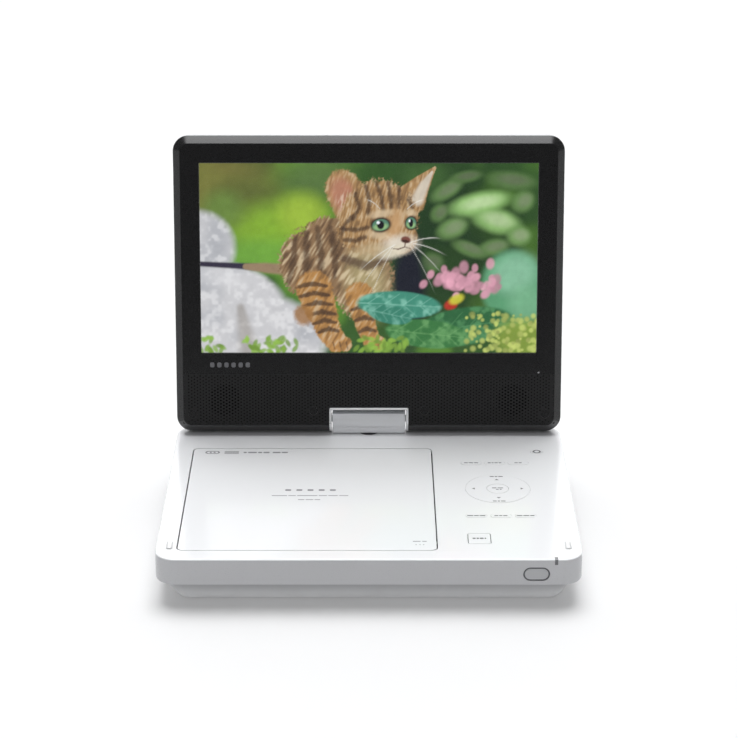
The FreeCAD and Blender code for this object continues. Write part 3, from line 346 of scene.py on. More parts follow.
# A brighter copy of the gloss white for the notch's rim: white plastic with a painted highlight.
LIP_WHITE_HIGHLIGHT = moulded("lip_white_painted_highlight", (0.94, 0.945, 0.955), 0.16, drift=0.004, grain=320.0, bump=0.02, coat=0.4)
# A darker copy of the hinge silver: painted shade on the hinge block's top, under the lid.
HINGE_SHADE = moulded("hinge_painted_shade", (0.42, 0.43, 0.445), 0.3, drift=0.04, grain=2600.0, bump=0.08, metal=0.3)
SILVER = moulded("hinge_silver", (0.945, 0.955, 0.975), 0.38, drift=0.02, grain=2800.0, bump=0.08)
BLACK_PAINT = moulded("collar_black", (0.012, 0.012, 0.013), 0.4, drift=0.1, grain=1500.0, bump=0.1)
STEEL = moulded("steel", (0.58, 0.58, 0.59), 0.28, drift=0.05, grain=700.0, bump=0.1, metal=1.0,
                stretch=(1, 14, 1))
RUBBER = moulded("rubber_black", (0.02, 0.02, 0.021), 0.75, drift=0.12, grain=1800.0, bump=0.3)
PAD_GREY = moulded("pad_grey", (0.80, 0.80, 0.80), 0.4, drift=0.03, grain=1400.0, bump=0.08)
# A darker grey for the U round each stop pad's front and sides: painted shade of the raised pad.
PAD_SHADE = moulded("pad_painted_shade", (0.55, 0.55, 0.56), 0.45, drift=0.05, grain=1400.0, bump=0.08)
DRIVE_BLACK = moulded("drive_black", (0.028, 0.028, 0.03), 0.5, drift=0.1, grain=2000.0, bump=0.15)
BOARD = moulded("board_green", (0.03, 0.15, 0.07), 0.35, drift=0.15, grain=1200.0, bump=0.1, coat=0.3)
BATTERY = moulded("battery_wrap", (0.07, 0.08, 0.1), 0.3, drift=0.06, grain=900.0, bump=0.05, coat=0.3)
PRESSED = moulded("panel_frame", (0.55, 0.56, 0.57), 0.35, drift=0.04, grain=900.0, bump=0.1, metal=1.0,
                  stretch=(1, 10, 1))
SPEAKER_METAL = moulded("speaker_metal", (0.05, 0.05, 0.05), 0.45, drift=0.1, grain=1200.0, bump=0.1,
                        metal=0.6)
INK = moulded("ink_grey", (0.24, 0.24, 0.255), 0.5, drift=0.05, grain=2600.0, bump=0.04)
INK_DARK = moulded("ink_dark", (0.11, 0.11, 0.12), 0.5, drift=0.05, grain=2600.0, bump=0.04)
LID_INK = moulded("lid_ink", (0.16, 0.16, 0.17), 0.4, drift=0.05, grain=2600.0, bump=0.04)
# Dark grey for the band round the window, in the wall of its opening: painted shade in that recess.
RECESS_SHADE = moulded("recess_painted_shade", (0.10, 0.10, 0.11), 0.5, drift=0.06, grain=1800.0, bump=0.06)
WINDOW = moulded("window_smoke", (0.47, 0.475, 0.49), 0.16, drift=0.03, grain=300.0, bump=0.02, coat=0.8)
PIPE = moulded("pipe_smoke", (0.11, 0.11, 0.118), 0.12, drift=0.06, grain=260.0, bump=0.02, coat=0.9)
LENS = see_through("lens_glass", (0.3, 0.36, 0.55), 0.05, 0.85)
PICTURE = lit_picture()

CAD_FINISHES = {
    "white_gloss": WHITE, "case_grey": CASE_WHITE, "lid_black": LID_BLACK, "grille_black": GRILLE_BLACK,
    "hinge_silver": SILVER, "collar_black": BLACK_PAINT, "steel": STEEL, "rubber_black": RUBBER,
    "pad_grey": PAD_GREY, "drive_black": DRIVE_BLACK, "board_green": BOARD, "battery_wrap": BATTERY,
    "panel_frame": PRESSED, "screen_glass": WINDOW, "lens_glass": LENS, "window_smoke": WINDOW,
    "speaker_metal": SPEAKER_METAL,
}


def finish_cad_nodes():
    for part in frame["record"]["subparts"]:
        data = frame["nodes"][part["node"]].data
        data.materials.clear()
        data.materials.append(CAD_FINISHES[part["material_slot"]])


# ---------------------------------------------------------------- base

def deep(distance):
    """A distance back from the base's front edge, as a Y position."""
    return FRONT + distance


UPPER_ROW, NAV_ROW, LOWER_ROW = deep(122.5), deep(87.7), deep(53.0)
KEY_COLUMNS = (59.2, 72.8, 86.4)
NAV = (KEY_COLUMNS[1], NAV_ROW)
DOOR = (-102.4, deep(11.5), 36.4, deep(142.6))
DISC = (-33, deep(77.05))
POWER = (98.3, deep(138.2))
OPEN_KEY = (53.7, deep(19.15), 65.6, deep(31.05))
WINDOW_AT = (89.1, TOP - 8.6)
LAMP_AT = (98.65, 100.35)        # the light pipe's slot, left and right
PAD_X = 106.9


def base_outline(inset):
    return round_rect(LEFT, FRONT, RIGHT, REAR, PLAN_CORNER, inset, 14)


def door_outline(inset):
    return round_rect(*DOOR, 3.0, inset, 8)


def open_outline(inset):
    return round_rect(*OPEN_KEY, 1.0, inset, 5)


def pad_outline(side):
    middle = side * PAD_X
    return lambda inset: round_rect(middle - 2, deep(12), middle + 2, deep(21), 1.2, inset, 5)


def cutter(outlines, where=TO_METRES):
    """A closed solid to carve with, from its outline at each end."""
    return Solids().add(outlines).finish("cutter", None, [RECESS_SHADE], where, even=False)


def across_y(outline, *places):
    return [[(x, y, z) for x, z in outline] for y in places]


def across_x(outline, *places):
    return [[(x, y, z) for y, z in outline] for x in places]


def socket_height():
    low, high = millimetres("dc_jack")
    return (low.z + high.z) / 2


def make_top_cover():
    under = TOP - PLATE
    path = rim(0.8, TOP, steps=6)
    path += [(0, SPLIT + 0.8), (0.23, SPLIT + 0.23), (0.8, SPLIT), (5.6, SPLIT), (5.6, SPLIT + 1.2),
             (WALL, SPLIT + 1.2), (WALL, under)]
    outlines = [(lambda inset: door_outline(inset - DOOR_GAP), 0.25),
                (lambda inset: open_outline(inset - 0.35), 0.12),
                (lambda inset: ring(*NAV, 18.45 - inset, 72), 0.06),
                (lambda inset: ring(*POWER, 3.75 - inset, 40), 0.15),
                (lambda inset: ring(0, AXIS.y, 3.95 - inset, 40), 0.1)]
    for x in KEY_COLUMNS:
        outlines.append((lambda inset, x=x: pill(x, UPPER_ROW, 12.4, 5.4, inset), 0.05))
        outlines.append((lambda inset, x=x: pill(x, LOWER_ROW, 11.9, 4.9, inset), 0.08))
    holes = [hole(outline, TOP, under, size) for outline, size in outlines]
    cover = Solids().add([level(base_outline(i), z) for i, z in path], holes)

    # Faces below the top that turn sideways or down get the darker white: painted shade.
    def side(centre, normal):
        return 1 if normal.z < 0.3 and centre.z < TOP - 0.5 else 0

    piece = cover.finish("top_cover", "base", [WHITE, SHADED_WHITE], stands_for=["base_top_cover"], paint=side)

    middle = socket_height()
    low, high = millimetres("jack_plate")
    lamp_slot = round_rect(FRONT - 1, TOP - 3.1, FRONT + 3.2, TOP + 1, 0.1, 0, 2)
    wheel_hollow = round_rect(deep(32), middle - 3.3, deep(48), middle + 3.5, 3, 0, 6)
    wheel_slot = round_rect(deep(34.8), middle - 1.5, deep(45.2), middle + 2.1, 0.3, 0, 2)
    notch = round_rect(low.y - PLATE_GAP, SPLIT - 1, high.y + PLATE_GAP, high.z + PLATE_GAP, 0.1, 0, 2)
    cutters = [cutter(across_y(pill(*WINDOW_AT, 14.3, 8.0), FRONT - 1, FRONT + WALL + 0.1)),
               cutter(across_x(lamp_slot, *LAMP_AT)),
               cutter(across_x(wheel_hollow, RIGHT - 1.2, RIGHT + 1)),
               cutter(across_x(wheel_slot, RIGHT - 3, RIGHT + 1)),
               cutter(across_x(notch, low.x + PLATE_GAP, RIGHT + 1))]
    for side_of in (-1, 1):
        cutters.append(cutter([level(pad_outline(side_of)(0), z) for z in (TOP - 0.6, TOP + 1)]))
    carve(piece, cutters)


def make_jack_plate():
    """The flat plate that carries the sockets, let into the cover's right wall."""
    low, high = millimetres("jack_plate")
    middle = socket_height()
    inner = RIGHT - WALL

    def edge(inset, x):
        return across_x(round_rect(low.y, SPLIT, high.y, high.z, 0.1, inset, 2), x)[0]

    def bore(y, radius):
        steps = ((radius + 0.3, RIGHT), (radius + 0.08, RIGHT - 0.1), (radius, RIGHT - 0.3), (radius, inner))
        return [across_x(ring(deep(y), middle, r, 40), x)[0] for r, x in steps]

    rings = [edge(0.15, RIGHT), edge(0.04, RIGHT - 0.06), edge(0, RIGHT - 0.2), edge(0, inner)]
    plate = Solids().add(rings, [bore(58, 3.1), bore(72, 3.1), bore(86, 3.1), bore(104, 3.6)])
    foot = round_rect(low.x, low.y, inner + 0.1, high.y, 0.1, 0, 2)
    plate.add([level(foot, SPLIT + 1.2), level(foot, SPLIT)])
    plate.finish("jack_plate", "base", [SHADED_WHITE], stands_for=["jack_plate"])


def tub(share, inset, z):
    """The bottom case's outline, from its upper edge (share 0) to its foot (share 1)."""
    side = 3.6 + (11.0 - 3.6) * share
    front = 3.6 + (9.5 - 3.6) * share
    corner = 9.6 + (7.0 - 9.6) * share
    points = round_rect(LEFT + side, FRONT + front, RIGHT - side, REAR - front, corner, inset, 12)
    return level(points, z)


def make_bottom_case():
    low, high = FLOOR_OF_CASE, SPLIT
    tall, inside = high - low, low + 2.0
    rings = [tub(1, i, z) for i, z in rim(1.2, low, False, 5)[::-1]]
    rings += [tub(1 - (z - low) / tall, 0, z) for z in np.linspace(low + 2.2, high, 6)]
    rings += [tub(0, WALL, high), tub(1, WALL, inside)]
    hatch = round_rect(46.8, deep(38.3), 97.2, deep(141.7), 3.2, 0, 5)
    holes = [[level(hatch, low), level(hatch, inside)]]
    spots = [(96, 16), (96, 159), (-96, 159), (-96, 16), (25, 18)]
    bores = [ring(x, deep(y), 2.9, 28) for x, y in spots]
    holes += [[level(bore, low), level(bore, inside)] for bore in bores]
    case = Solids().add(rings, holes)
    for (x, y), bore in zip(spots, bores):
        post = ring(x, deep(y), 3.9, 28)
        outside, hollow = [[level(outline, z) for z in (inside, SPLIT - 0.1)] for outline in (post, bore)]
        case.add(outside, [hollow])
    case.finish("bottom_case", "base", [CASE_WHITE], stands_for=["base_bottom_case"])

    cover = Solids().add(slab(lambda inset: round_rect(47, deep(38.5), 97, deep(141.5), 3, inset, 5),
                              inside, low, 0.1, 0.4))
    for y in (122, 125, 128, 131, 134):
        cover.add(slab(lambda inset, y=y: pill(72, deep(y), 22, 1.4, inset),
                       low + 0.1, low - 0.35, 0.05, 0.3))
    cover.finish("battery_hatch", "base", [CASE_WHITE], stands_for=["battery_cover"])


def make_feet():
    feet = Solids()
    for x in (-86, 86):
        for y in (25, 151):
            feet.add(slab(lambda inset, x=x, y=y: ring(x, deep(y), 5 - inset), FLOOR_OF_CASE + 0.01, 0.0,
                          0.05, 0.45))
    feet.finish("feet", "base", [RUBBER], stands_for=["rubber_feet"])


def make_door():
    under = TOP - 1.8
    door = Solids().add(slab(door_outline, TOP, under, 0.3, 0.3))
    barrel = ring(DOOR[3] - 1.2, TOP - 1.25, 1.15, 24)
    door.add(across_x(barrel, DOOR[0] + 3, DOOR[2] - 3))
    outer, inner = ring(*DISC, 59.2, 96), ring(*DISC, 58.0, 96)
    door.add([level(outer, under + 0.1), level(outer, under - 0.9)],
             [[level(inner, under + 0.1), level(inner, under - 0.9)]])
    door.add(slab(lambda inset: round_rect(33, deep(22.5), 35.2, deep(27.5), 0.3, inset, 3), under + 0.1,
                  TOP - 6.5, 0.05, 0.2))
    door.finish("door", "door", [WHITE], stands_for=["disc_door"])


def flat_mark(marks, points, top):
    marks.add([level(points, top + 0.02), level(points, top - 0.05)])


def ring_mark(marks, outer, inner, top):
    """A flat closed line between two outlines."""
    edges = [[level(outline, top + 0.02), level(outline, top - 0.05)] for outline in (outer, inner)]
    marks.add(edges[0], edges[1:])


def bars(marks, cx, cy, widths, height, gap, top):
    """A row of short bars, in place of a word."""
    x = cx - (sum(widths) + gap * (len(widths) - 1)) / 2
    for width in widths:
        flat_mark(marks, round_rect(x, cy - height / 2, x + width, cy + height / 2, height * 0.3, 0, 3), top)
        x += width + gap


def make_door_marks():
    marks = Solids()
    bars(marks, -32.9, deep(85.9), (3.4,) * 5, 2.2, 2.9, TOP)
    bars(marks, -33, deep(78.7), (8.6, 4.2, 11.5, 4.6, 5.4, 5.2), 0.8, 0.7, TOP)
    bars(marks, -33.4, deep(73.5), (3.6, 4.4, 3.2), 0.8, 0.6, TOP)
    badge = (-91.4, deep(137.2))
    ring_mark(marks, pill(*badge, 8.6, 4.0), pill(*badge, 6.6, 2.4), TOP)
    bars(marks, *badge, (1.2, 1.2), 1.4, 1.0, TOP)
    for y in (135.7, 137.1, 138.5):
        bars(marks, -80.2, deep(y), (8.4,), 0.8, 0.0, TOP)
    bars(marks, -65.7, deep(137.1), (1.9, 5.2, 2.4, 3.6), 1.8, 0.7, TOP)
    bars(marks, -51.8, deep(137.1), (4.6, 3.6), 1.8, 0.7, TOP)
    bars(marks, 27.4, deep(21.7), (4.2, 2.4), 0.9, 0.9, TOP)
    for x in (25.4, 27.5, 29.4):
        flat_mark(marks, ring(x, deep(17.8), 0.38, 12), TOP)
    marks.finish("door_marks", "door", [INK], even=False)


def make_key(name, node, outline, top_round, marks_maker, skirt):
    """A key whose lower part is this much wider than its cap, with its own small marks on top."""
    low = TOP - 3.6
    rings = [level(outline(inset), z) for inset, z in rim(top_round, KEY_TOP)]
    sides = ((0, TOP - 0.16), (-skirt, TOP - 0.18), (-skirt, low + 0.05), (0.05, low))
    rings += [level(outline(inset), z) for inset, z in sides]
    Solids().add(rings).finish(name, node, [WHITE], stands_for=[node])
    marks = Solids()
    marks_maker(marks)
    marks.finish(f"{name}_mark", node, [INK_DARK], even=False)


def make_key_row(row, y, wide, long, top_round, height, gap, words):
    """Three pill-shaped keys, each with a row of bars this high and this far apart."""
    for x, side, widths in zip(KEY_COLUMNS, ("left", "middle", "right"), words):
        make_key(f"{side}_{row}", f"{row}_key_{side}", lambda inset: pill(x, y, wide, long, inset), top_round,
                 lambda marks: bars(marks, x, y, widths, height, gap, KEY_TOP), 0.19)


def make_keys():
    make_key_row("upper", UPPER_ROW, 12, 5, 0.12, 1.0, 0.45,
                 ((2.2, 2.6, 2.4), (1.8, 1.2, 2.0, 1.6), (2.0, 1.8)))
    make_key_row("lower", LOWER_ROW, 11.5, 4.5, 0.16, 1.1, 0.4,
                 ((3.4, 2.6, 3.2), (2.2, 1.8, 2.4), (3.2, 3.4, 2.4)))
    middle = ((OPEN_KEY[0] + OPEN_KEY[2]) / 2, (OPEN_KEY[1] + OPEN_KEY[3]) / 2)
    make_key("opener", "open_key", open_outline, 0.3,
             lambda marks: bars(marks, *middle, (1.7, 1.3, 2.1, 0.9), 1.5, 0.45, KEY_TOP), 0.05)


def make_nav():
    x, y = NAV
    foot, cap, bore = TOP - 3.4, 18.2, 6.3
    path = rim(0.08, KEY_TOP, steps=4) + [(0, TOP - 0.12), (-0.19, TOP - 0.14), (-0.19, foot)]
    mouth = [level(ring(x, y, radius, 72), z)
             for radius, z in ((bore + 0.1, KEY_TOP), (bore, KEY_TOP - 0.1), (bore, foot))]
    rings = [level(ring(x, y, cap - inset, 72), z) for inset, z in path]
    Solids().add(rings, [mouth]).finish("rocker", "nav_ring", [WHITE], stands_for=["nav_ring"])
    marks = Solids()
    for turn in range(4):
        c, s = math.cos(turn * math.pi / 2), math.sin(turn * math.pi / 2)
        reach = 13.6 if turn % 2 == 0 else 11.9
        arrow = [(reach + 0.95, 0), (reach - 0.65, 1.15), (reach - 0.65, -1.15)]
        flat_mark(marks, [(x + u * c - v * s, y + u * s + v * c) for u, v in arrow], KEY_TOP)
    bars(marks, x, y + 16.0, (2.4, 1.6, 2.6), 1.0, 0.45, KEY_TOP)
    bars(marks, x, y - 16.2, (2.2, 1.4, 2.6), 1.0, 0.45, KEY_TOP)
    marks.finish("rocker_marks", "nav_ring", [INK_DARK], even=False)

    def words(marks):
        bars(marks, x, y + 0.9, (2.6, 3.2), 0.9, 0.5, KEY_TOP)
        bars(marks, x + 0.6, y - 1.0, (1.6, 1.2), 0.9, 0.5, KEY_TOP)

    make_key("centre", "enter_key", lambda inset: ring(x, y, 6.0 - inset, 60), 0.12, words, 0.2)


def make_power():
    high, low = TOP + 0.05, TOP - 3.0
    collar = slab(lambda inset: ring(*POWER, 3.7 - inset), high, low, 0.2)
    bore = hole(lambda inset: ring(*POWER, 2.65 - inset), high, low, 0.15)
    Solids().add(collar, [bore]).finish("power_surround", "base", [WHITE], stands_for=["power_ring"])
    make_key("power", "power_button", lambda inset: ring(*POWER, 2.5 - inset), 0.15,
             lambda marks: ring_mark(marks, ring(*POWER, 2.32), ring(*POWER, 1.4), KEY_TOP), 0.0)


def make_pads():
    pads, edges = Solids(), Solids()
    for side in (-1, 1):
        pads.add(slab(pad_outline(side), TOP + 0.12, TOP - 0.58, 0.15))
        x, low, high = side * PAD_X, deep(12.4), deep(20.6)
        # A U-shaped band round the pad's front and sides, in a darker grey: painted shade of the raised pad.
        outer = ([(x + 1.65, high)] + arc(x + 0.2, low + 1.45, 1.45, 0, -90, 5)
                 + arc(x - 0.2, low + 1.45, 1.45, -90, -180, 5) + [(x - 1.65, high)])
        inner = ([(x - 1.0, high)] + arc(x - 0.1, low + 1.55, 0.9, 180, 270, 5)
                 + arc(x + 0.1, low + 1.55, 0.9, -90, 0, 5) + [(x + 1.0, high)])
        edges.add([level(outer + inner, z) for z in (TOP + 0.5, TOP + 0.1)])
    pads.finish("stop_pads", "base", [PAD_GREY], stands_for=["lid_pads"])
    edges.finish("stop_pad_painted_shade", "base", [PAD_SHADE], even=False)


def make_front_details():
    def window_edge(inset, *places):
        return across_y(pill(*WINDOW_AT, 14.2, 7.9, inset), *places)

    front, back, band = FRONT + 0.35, FRONT + 1.9, 0.75
    # The band round the window, in its opening's wall, is dark grey: painted shade in the recess.
    surround = Solids().add(window_edge(0, front, back), [window_edge(band, front, back)])
    surround.finish("window_surround", "base", [RECESS_SHADE], even=False)
    rings = []
    for inset, depth in rim(0.3, 0):
        rings += window_edge(band + inset, FRONT - depth)
    window = Solids().add(rings + window_edge(band, back))
    window.finish("window", "base", [WINDOW], stands_for=["ir_window"])

    low, rear = TOP - 4.4, FRONT + 3.2
    side_view = ([(rear, low), (rear, TOP)] + arc(FRONT + 0.8, TOP - 0.8, 0.8, 90, 180, 6)
                 + [(FRONT, TOP - 3.1), (FRONT + 2, TOP - 3.1), (FRONT + 2, low)])
    pipe = Solids().add(across_x(side_view, LAMP_AT[0] + 0.02, LAMP_AT[1] - 0.02))
    pipe.finish("light_pipe", "base", [PIPE], stands_for=["led_light_pipe"], even=False)


# ---------------------------------------------------------------- hinge block

def make_hinge():
    """A silver block on the swivel. Its top, which the tilt shafts run through, is painted a darker grey: painted
    shade where the lid shades it.
    """
    low, split, half = TOP + 0.6, TOP + 4.7, 21.6
    radius = 5.2
    joint = 0.12                     # half the seam between the two covers

    def section(inset):
        """The upper cover's end view: upright sides, and a round top about the tilt axis with a groove."""
        r = radius - inset
        top = []
        for start, end, steps, sunk in ((0, 132.5, 18, 0), (133.5, 136.5, 1, 0.14), (137.5, 180, 6, 0)):
            top += arc(AXIS.y, AXIS.z, r - sunk, start, end, steps)
        foot = split + joint + inset
        return [(AXIS.y + r, foot)] + top + [(AXIS.y - r, foot)]

    ends = [(-half + x, inset) for inset, x in ((0.5, 0.0), (0.25, 0.07), (0.07, 0.25), (0.0, 0.5))]
    ends += [(-x, inset) for x, inset in ends[::-1]]
    rings = [across_x(section(inset), x)[0] for x, inset in ends]

    # The top band takes the darker grey: painted shade.
    def shaded_top(centre, normal):
        return 1 if AXIS.z + 4.35 < centre.z and abs(normal.x) < 0.5 else 0

    Solids().add(rings).finish("hinge_top", "swivel", [SILVER, HINGE_SHADE], stands_for=["hinge_cover_upper"],
                               paint=shaded_top)
    front, rear = AXIS.y - radius, AXIS.y + radius
    base = Solids().add(slab(lambda inset: round_rect(-half, front, half, rear, 0.8, inset, 5),
                             split - joint, low, 0.25, 0.7))
    base.finish("hinge_bottom", "swivel", [SILVER], stands_for=["hinge_cover_lower"])


# ---------------------------------------------------------------- lid

def lid_outline(inset, detour, z):
    """The lid's outline this far inside, then a detour from its front edge, which goes round the hinge."""
    return level(round_rect(LEFT, LID_LOW, RIGHT, LID_HIGH, LID_CORNER, inset, 12) + detour, z)


def lid_cutter(outline):
    return cutter([level(outline, LID_HALF + 1.9), level(outline, BEZEL_BACK - 0.1)], ON_LID)


def make_bezel():
    flat = [(0, 2.0), (0, LID_HALF - CHAMFER - 0.15), (0.06, LID_HALF - CHAMFER + 0.08),
            (CHAMFER - 0.1, LID_HALF - 0.12), (CHAMFER + 0.16, LID_HALF)][::-1]
    left, low, right, high = GRILLE

    def outline(inset, z):
        half, edge, cut = NOTCH_HALF + LIP, LID_LOW + inset, GRILLE_CUT
        detour = [(-half, edge), (-half, low), (left + cut, low), (left, low + cut), (left, high),
                  (right, high), (right, low + cut), (right - cut, low), (half, low), (half, edge)]
        return lid_outline(inset, detour, z)

    def screen(inset):
        return round_rect(*SCREEN, 0.6, inset, 4)

    rings = [outline(inset, z) for inset, z in flat] + [outline(4.6, 2.0), outline(4.6, BEZEL_BACK)]
    opening = [level(screen(-i), z) for i, z in rim(0.35, LID_HALF, True, 3)] + [level(screen(0), BEZEL_BACK)]
    bezel = Solids().add(rings, [opening])
    half, top, floor = NOTCH_HALF + LIP + 0.05, NOTCH_TOP + LIP - 0.05, low - 0.4
    backing = (round_rect(left - 1, floor, right + 1, high + 1, 0.5, 0, 2)
               + [(-half, floor), (-half, top), (half, top), (half, floor)])
    bezel.add([level(backing, LID_HALF - 0.9), level(backing, BEZEL_BACK)])

    # The lower chamfer takes the lighter black: painted reflection of the base top.
    def lower_chamfer(centre, normal):
        return 1 if normal.y < -0.3 and normal.z > 0.3 and centre.z < LID_HALF - 0.2 else 0

    bezel.finish("bezel", "lid", [LID_BLACK, LID_BLACK_REFLECTION], ON_LID, stands_for=["front_bezel"],
                 paint=lower_chamfer)


def make_grille():
    """A panel tiled with cells on a triangular grid: most hold a dimple, those over a speaker a hole."""
    left, low, right, high = (GRILLE[0] + 0.1, GRILLE[1] + 0.1, GRILLE[2] - 0.1, GRILLE[3] - 0.1)
    columns, rows = 127, 15
    wide, tall = (right - left) / columns, (high - low) / rows
    front, back = LID_HALF, LID_HALF - 0.8
    mesh = bmesh.new()
    known = {}

    def corner(i, j, z=front):
        """A grid point: i columns across and j half rows up."""
        key = (i, j, z)
        if key not in known:
            known[key] = mesh.verts.new((left + i * wide, low + j * tall / 2, z))
        return known[key]

    def loop_of(cx, cy, radius, angles, z):
        return [mesh.verts.new((cx + radius * math.cos(a), cy + radius * math.sin(a), z)) for a in angles]

    def bridge(first, second):
        for k in range(len(first)):
            n = (k + 1) % len(first)
            mesh.faces.new((first[k], first[n], second[n], second[k]))

    def off_speaker(x, y):
        return math.hypot(abs(x) - SPEAKER_X, y - SPEAKER_Y)

    for i in range(columns):
        start = 0 if i % 2 else -1
        for j in range(start, 2 * rows, 2):
            j0, j1 = max(j, 0), min(j + 2, 2 * rows)
            cx, cy = left + (i + 0.5) * wide, low + (j + 1) * tall / 2
            outline = ([corner(i, k) for k in range(j1, j0 - 1, -1)]
                       + [corner(i + 1, k) for k in range(j0, j1 + 1)])
            near_notch = abs(cx) < NOTCH_HALF + LIP + 0.9 and cy < NOTCH_TOP + LIP + 1.0
            near_cap = any(math.hypot(cx - x, cy - y) < 3.6 for x, y in CAPS)
            if j1 - j0 < 2 or near_notch or near_cap or i in (0, columns - 1):
                mesh.faces.new(outline)
                continue
            radius, depth = (0.62, 0.78) if off_speaker(cx, cy) < SPEAKER_R else (0.5, 0.3)
            angles = [math.atan2(v.co.y - cy, v.co.x - cx) for v in outline]
            mouth = loop_of(cx, cy, radius, angles, front)
            floor = loop_of(cx, cy, radius * 0.8, angles, front - depth)
            bridge(outline, mouth)
            bridge(mouth, floor)
            mesh.faces.new(floor)
    edge = ([(i, 0) for i in range(columns)] + [(columns, j) for j in range(2 * rows)]
            + [(i, 2 * rows) for i in range(columns, 0, -1)] + [(0, j) for j in range(2 * rows, 0, -1)])
    ring_back = [corner(i, j, back) for i, j in edge]
    bridge([corner(i, j) for i, j in edge], ring_back)
    mesh.faces.new(ring_back)
    bmesh.ops.recalc_face_normals(mesh, faces=mesh.faces[:])

    # Walls and floors of the holes and dimples are painted darker than the grille: painted shade.
    def shaded_pits(centre, normal):
        if not back + 0.01 < centre.z < front - 0.05 or abs(centre.x) > right - 0.2:
            return 0
        return 1 if off_speaker(centre.x, centre.y) < SPEAKER_R + 0.7 else 2

    piece = Solids(mesh).finish("grille", "lid", [GRILLE_BLACK, PIT_SHADE, DIMPLE_SHADE], ON_LID,
                                stands_for=["speaker_grille"], paint=shaded_pits, even=False)
    half = NOTCH_HALF + LIP + 0.05
    cutters = [lid_cutter(round_rect(-half, LID_LOW, half, NOTCH_TOP + LIP, 0.3, 0, 2))]
    for side in (-1, 1):
        x, y = side * GRILLE[2], GRILLE[1]
        inner, outer, high = x - side * GRILLE_CUT, x + side, y + GRILLE_CUT
        cutters.append(lid_cutter([(inner, y), (x, high), (outer, high), (outer, y - 1), (inner, y - 1)]))
    cutters += [lid_cutter(ring(x, y, 2.5, 32)) for x, y in CAPS]
    carve(piece, cutters)


def make_caps():
    covers = Solids()
    for x, y in CAPS:
        covers.add(slab(lambda inset, x=x, y=y: ring(x, y, 2.4 - inset, 32),
                        LID_HALF + 0.05, LID_HALF - 0.6, 0.2))
    covers.finish("caps", "lid", [LID_BLACK], ON_LID, stands_for=["screw_caps"])


def make_rear_cover():
    half, top = NOTCH_HALF, NOTCH_TOP
    path = rim(5.0, -LID_HALF, False, 10)[::-1] + [(0, 1.88), (0.12, 2.0), (2.0, 2.0), (3.2, WALL - LID_HALF)]
    rings = []
    for inset, z in path:
        low = LID_LOW + inset
        rings.append(lid_outline(inset, [(-half, low), (-half, top), (half, top), (half, low)], z))
    shell = Solids().add(rings)

    def lip(z, low, outward=0.0, inward=0.0):
        """The white rim of the notch at one depth."""
        outer, high = half + LIP - outward, top + LIP - 0.1 - outward
        bend = 1.2
        points = [(-outer, low)] + arc(-outer + bend, high - bend, bend, 180, 90, 5)
        points += arc(outer - bend, high - bend, bend, 90, 0, 5)
        points += [(outer, low), (half + inward, low), (half + inward, top + inward),
                   (-half - inward, top + inward), (-half - inward, low)]
        return level(points, z)

    proud = LID_HALF + 0.6
    shell.add([lip(proud, LID_LOW + 4.4, 0.95, 0.15), lip(proud - 0.1, LID_LOW + 4.3, 0.8, 0.04),
               lip(LID_HALF, LID_LOW + 4.1), lip(LID_HALF - 4.2, LID_LOW + 0.05), lip(1.9, LID_LOW + 0.05)])

    def finish(centre, normal):
        """White on the lip and in the notch, the lip a brighter white with a painted highlight. Black on the lower
        edge beside it: the shell's underside painted dark as painted shade where it sits over the base top.
        """
        if centre.z > 1.9 or (centre.z > 1.0 and abs(centre.x) < half + 0.1 and centre.y > LID_LOW + 1):
            return 1
        return 2 if normal.y < -0.85 and abs(centre.x) > half + 0.1 and centre.z > -6 else 0

    shell.finish("lid_back", "lid", [SHADED_WHITE, LIP_WHITE_HIGHLIGHT, LID_BLACK], ON_LID, stands_for=["rear_cover"],
                 paint=finish)


def make_lid_details():
    led = Solids().add(slab(lambda inset: ring(100.3, 29.2, 0.5 - inset, 16),
                            LID_HALF + 0.1, LID_HALF - 0.6, 0.2))
    led.finish("lamp", "lid", [WINDOW], ON_LID, stands_for=["lid_led"])
    marks = Solids()
    bars(marks, SCREEN[0] + 17.0, SCREEN[1] - 7.0, (2.6,) * 6, 3.0, 1.6, LID_HALF)
    marks.finish("bezel_mark", "lid", [LID_INK], ON_LID, even=False)


# ---------------------------------------------------------------- the picture on the screen

def smooth(low, high, value):
    t = np.clip((value - low) / (high - low), 0, 1)
    return t * t * (3 - 2 * t)


def value_noise(rng, u, v):
    """Smooth noise from 0 to 1, one cell for each unit of u and v."""
    u, v = u - u.min(), v - v.min()
    grid = rng.random((int(v.max()) + 2, int(u.max()) + 2))
    i, j = u.astype(int), v.astype(int)
    a, b = smooth(0, 1, u - i), smooth(0, 1, v - j)
    low = grid[j, i] * (1 - a) + grid[j, i + 1] * a
    high = grid[j + 1, i] * (1 - a) + grid[j + 1, i + 1] * a
    return low * (1 - b) + high * b


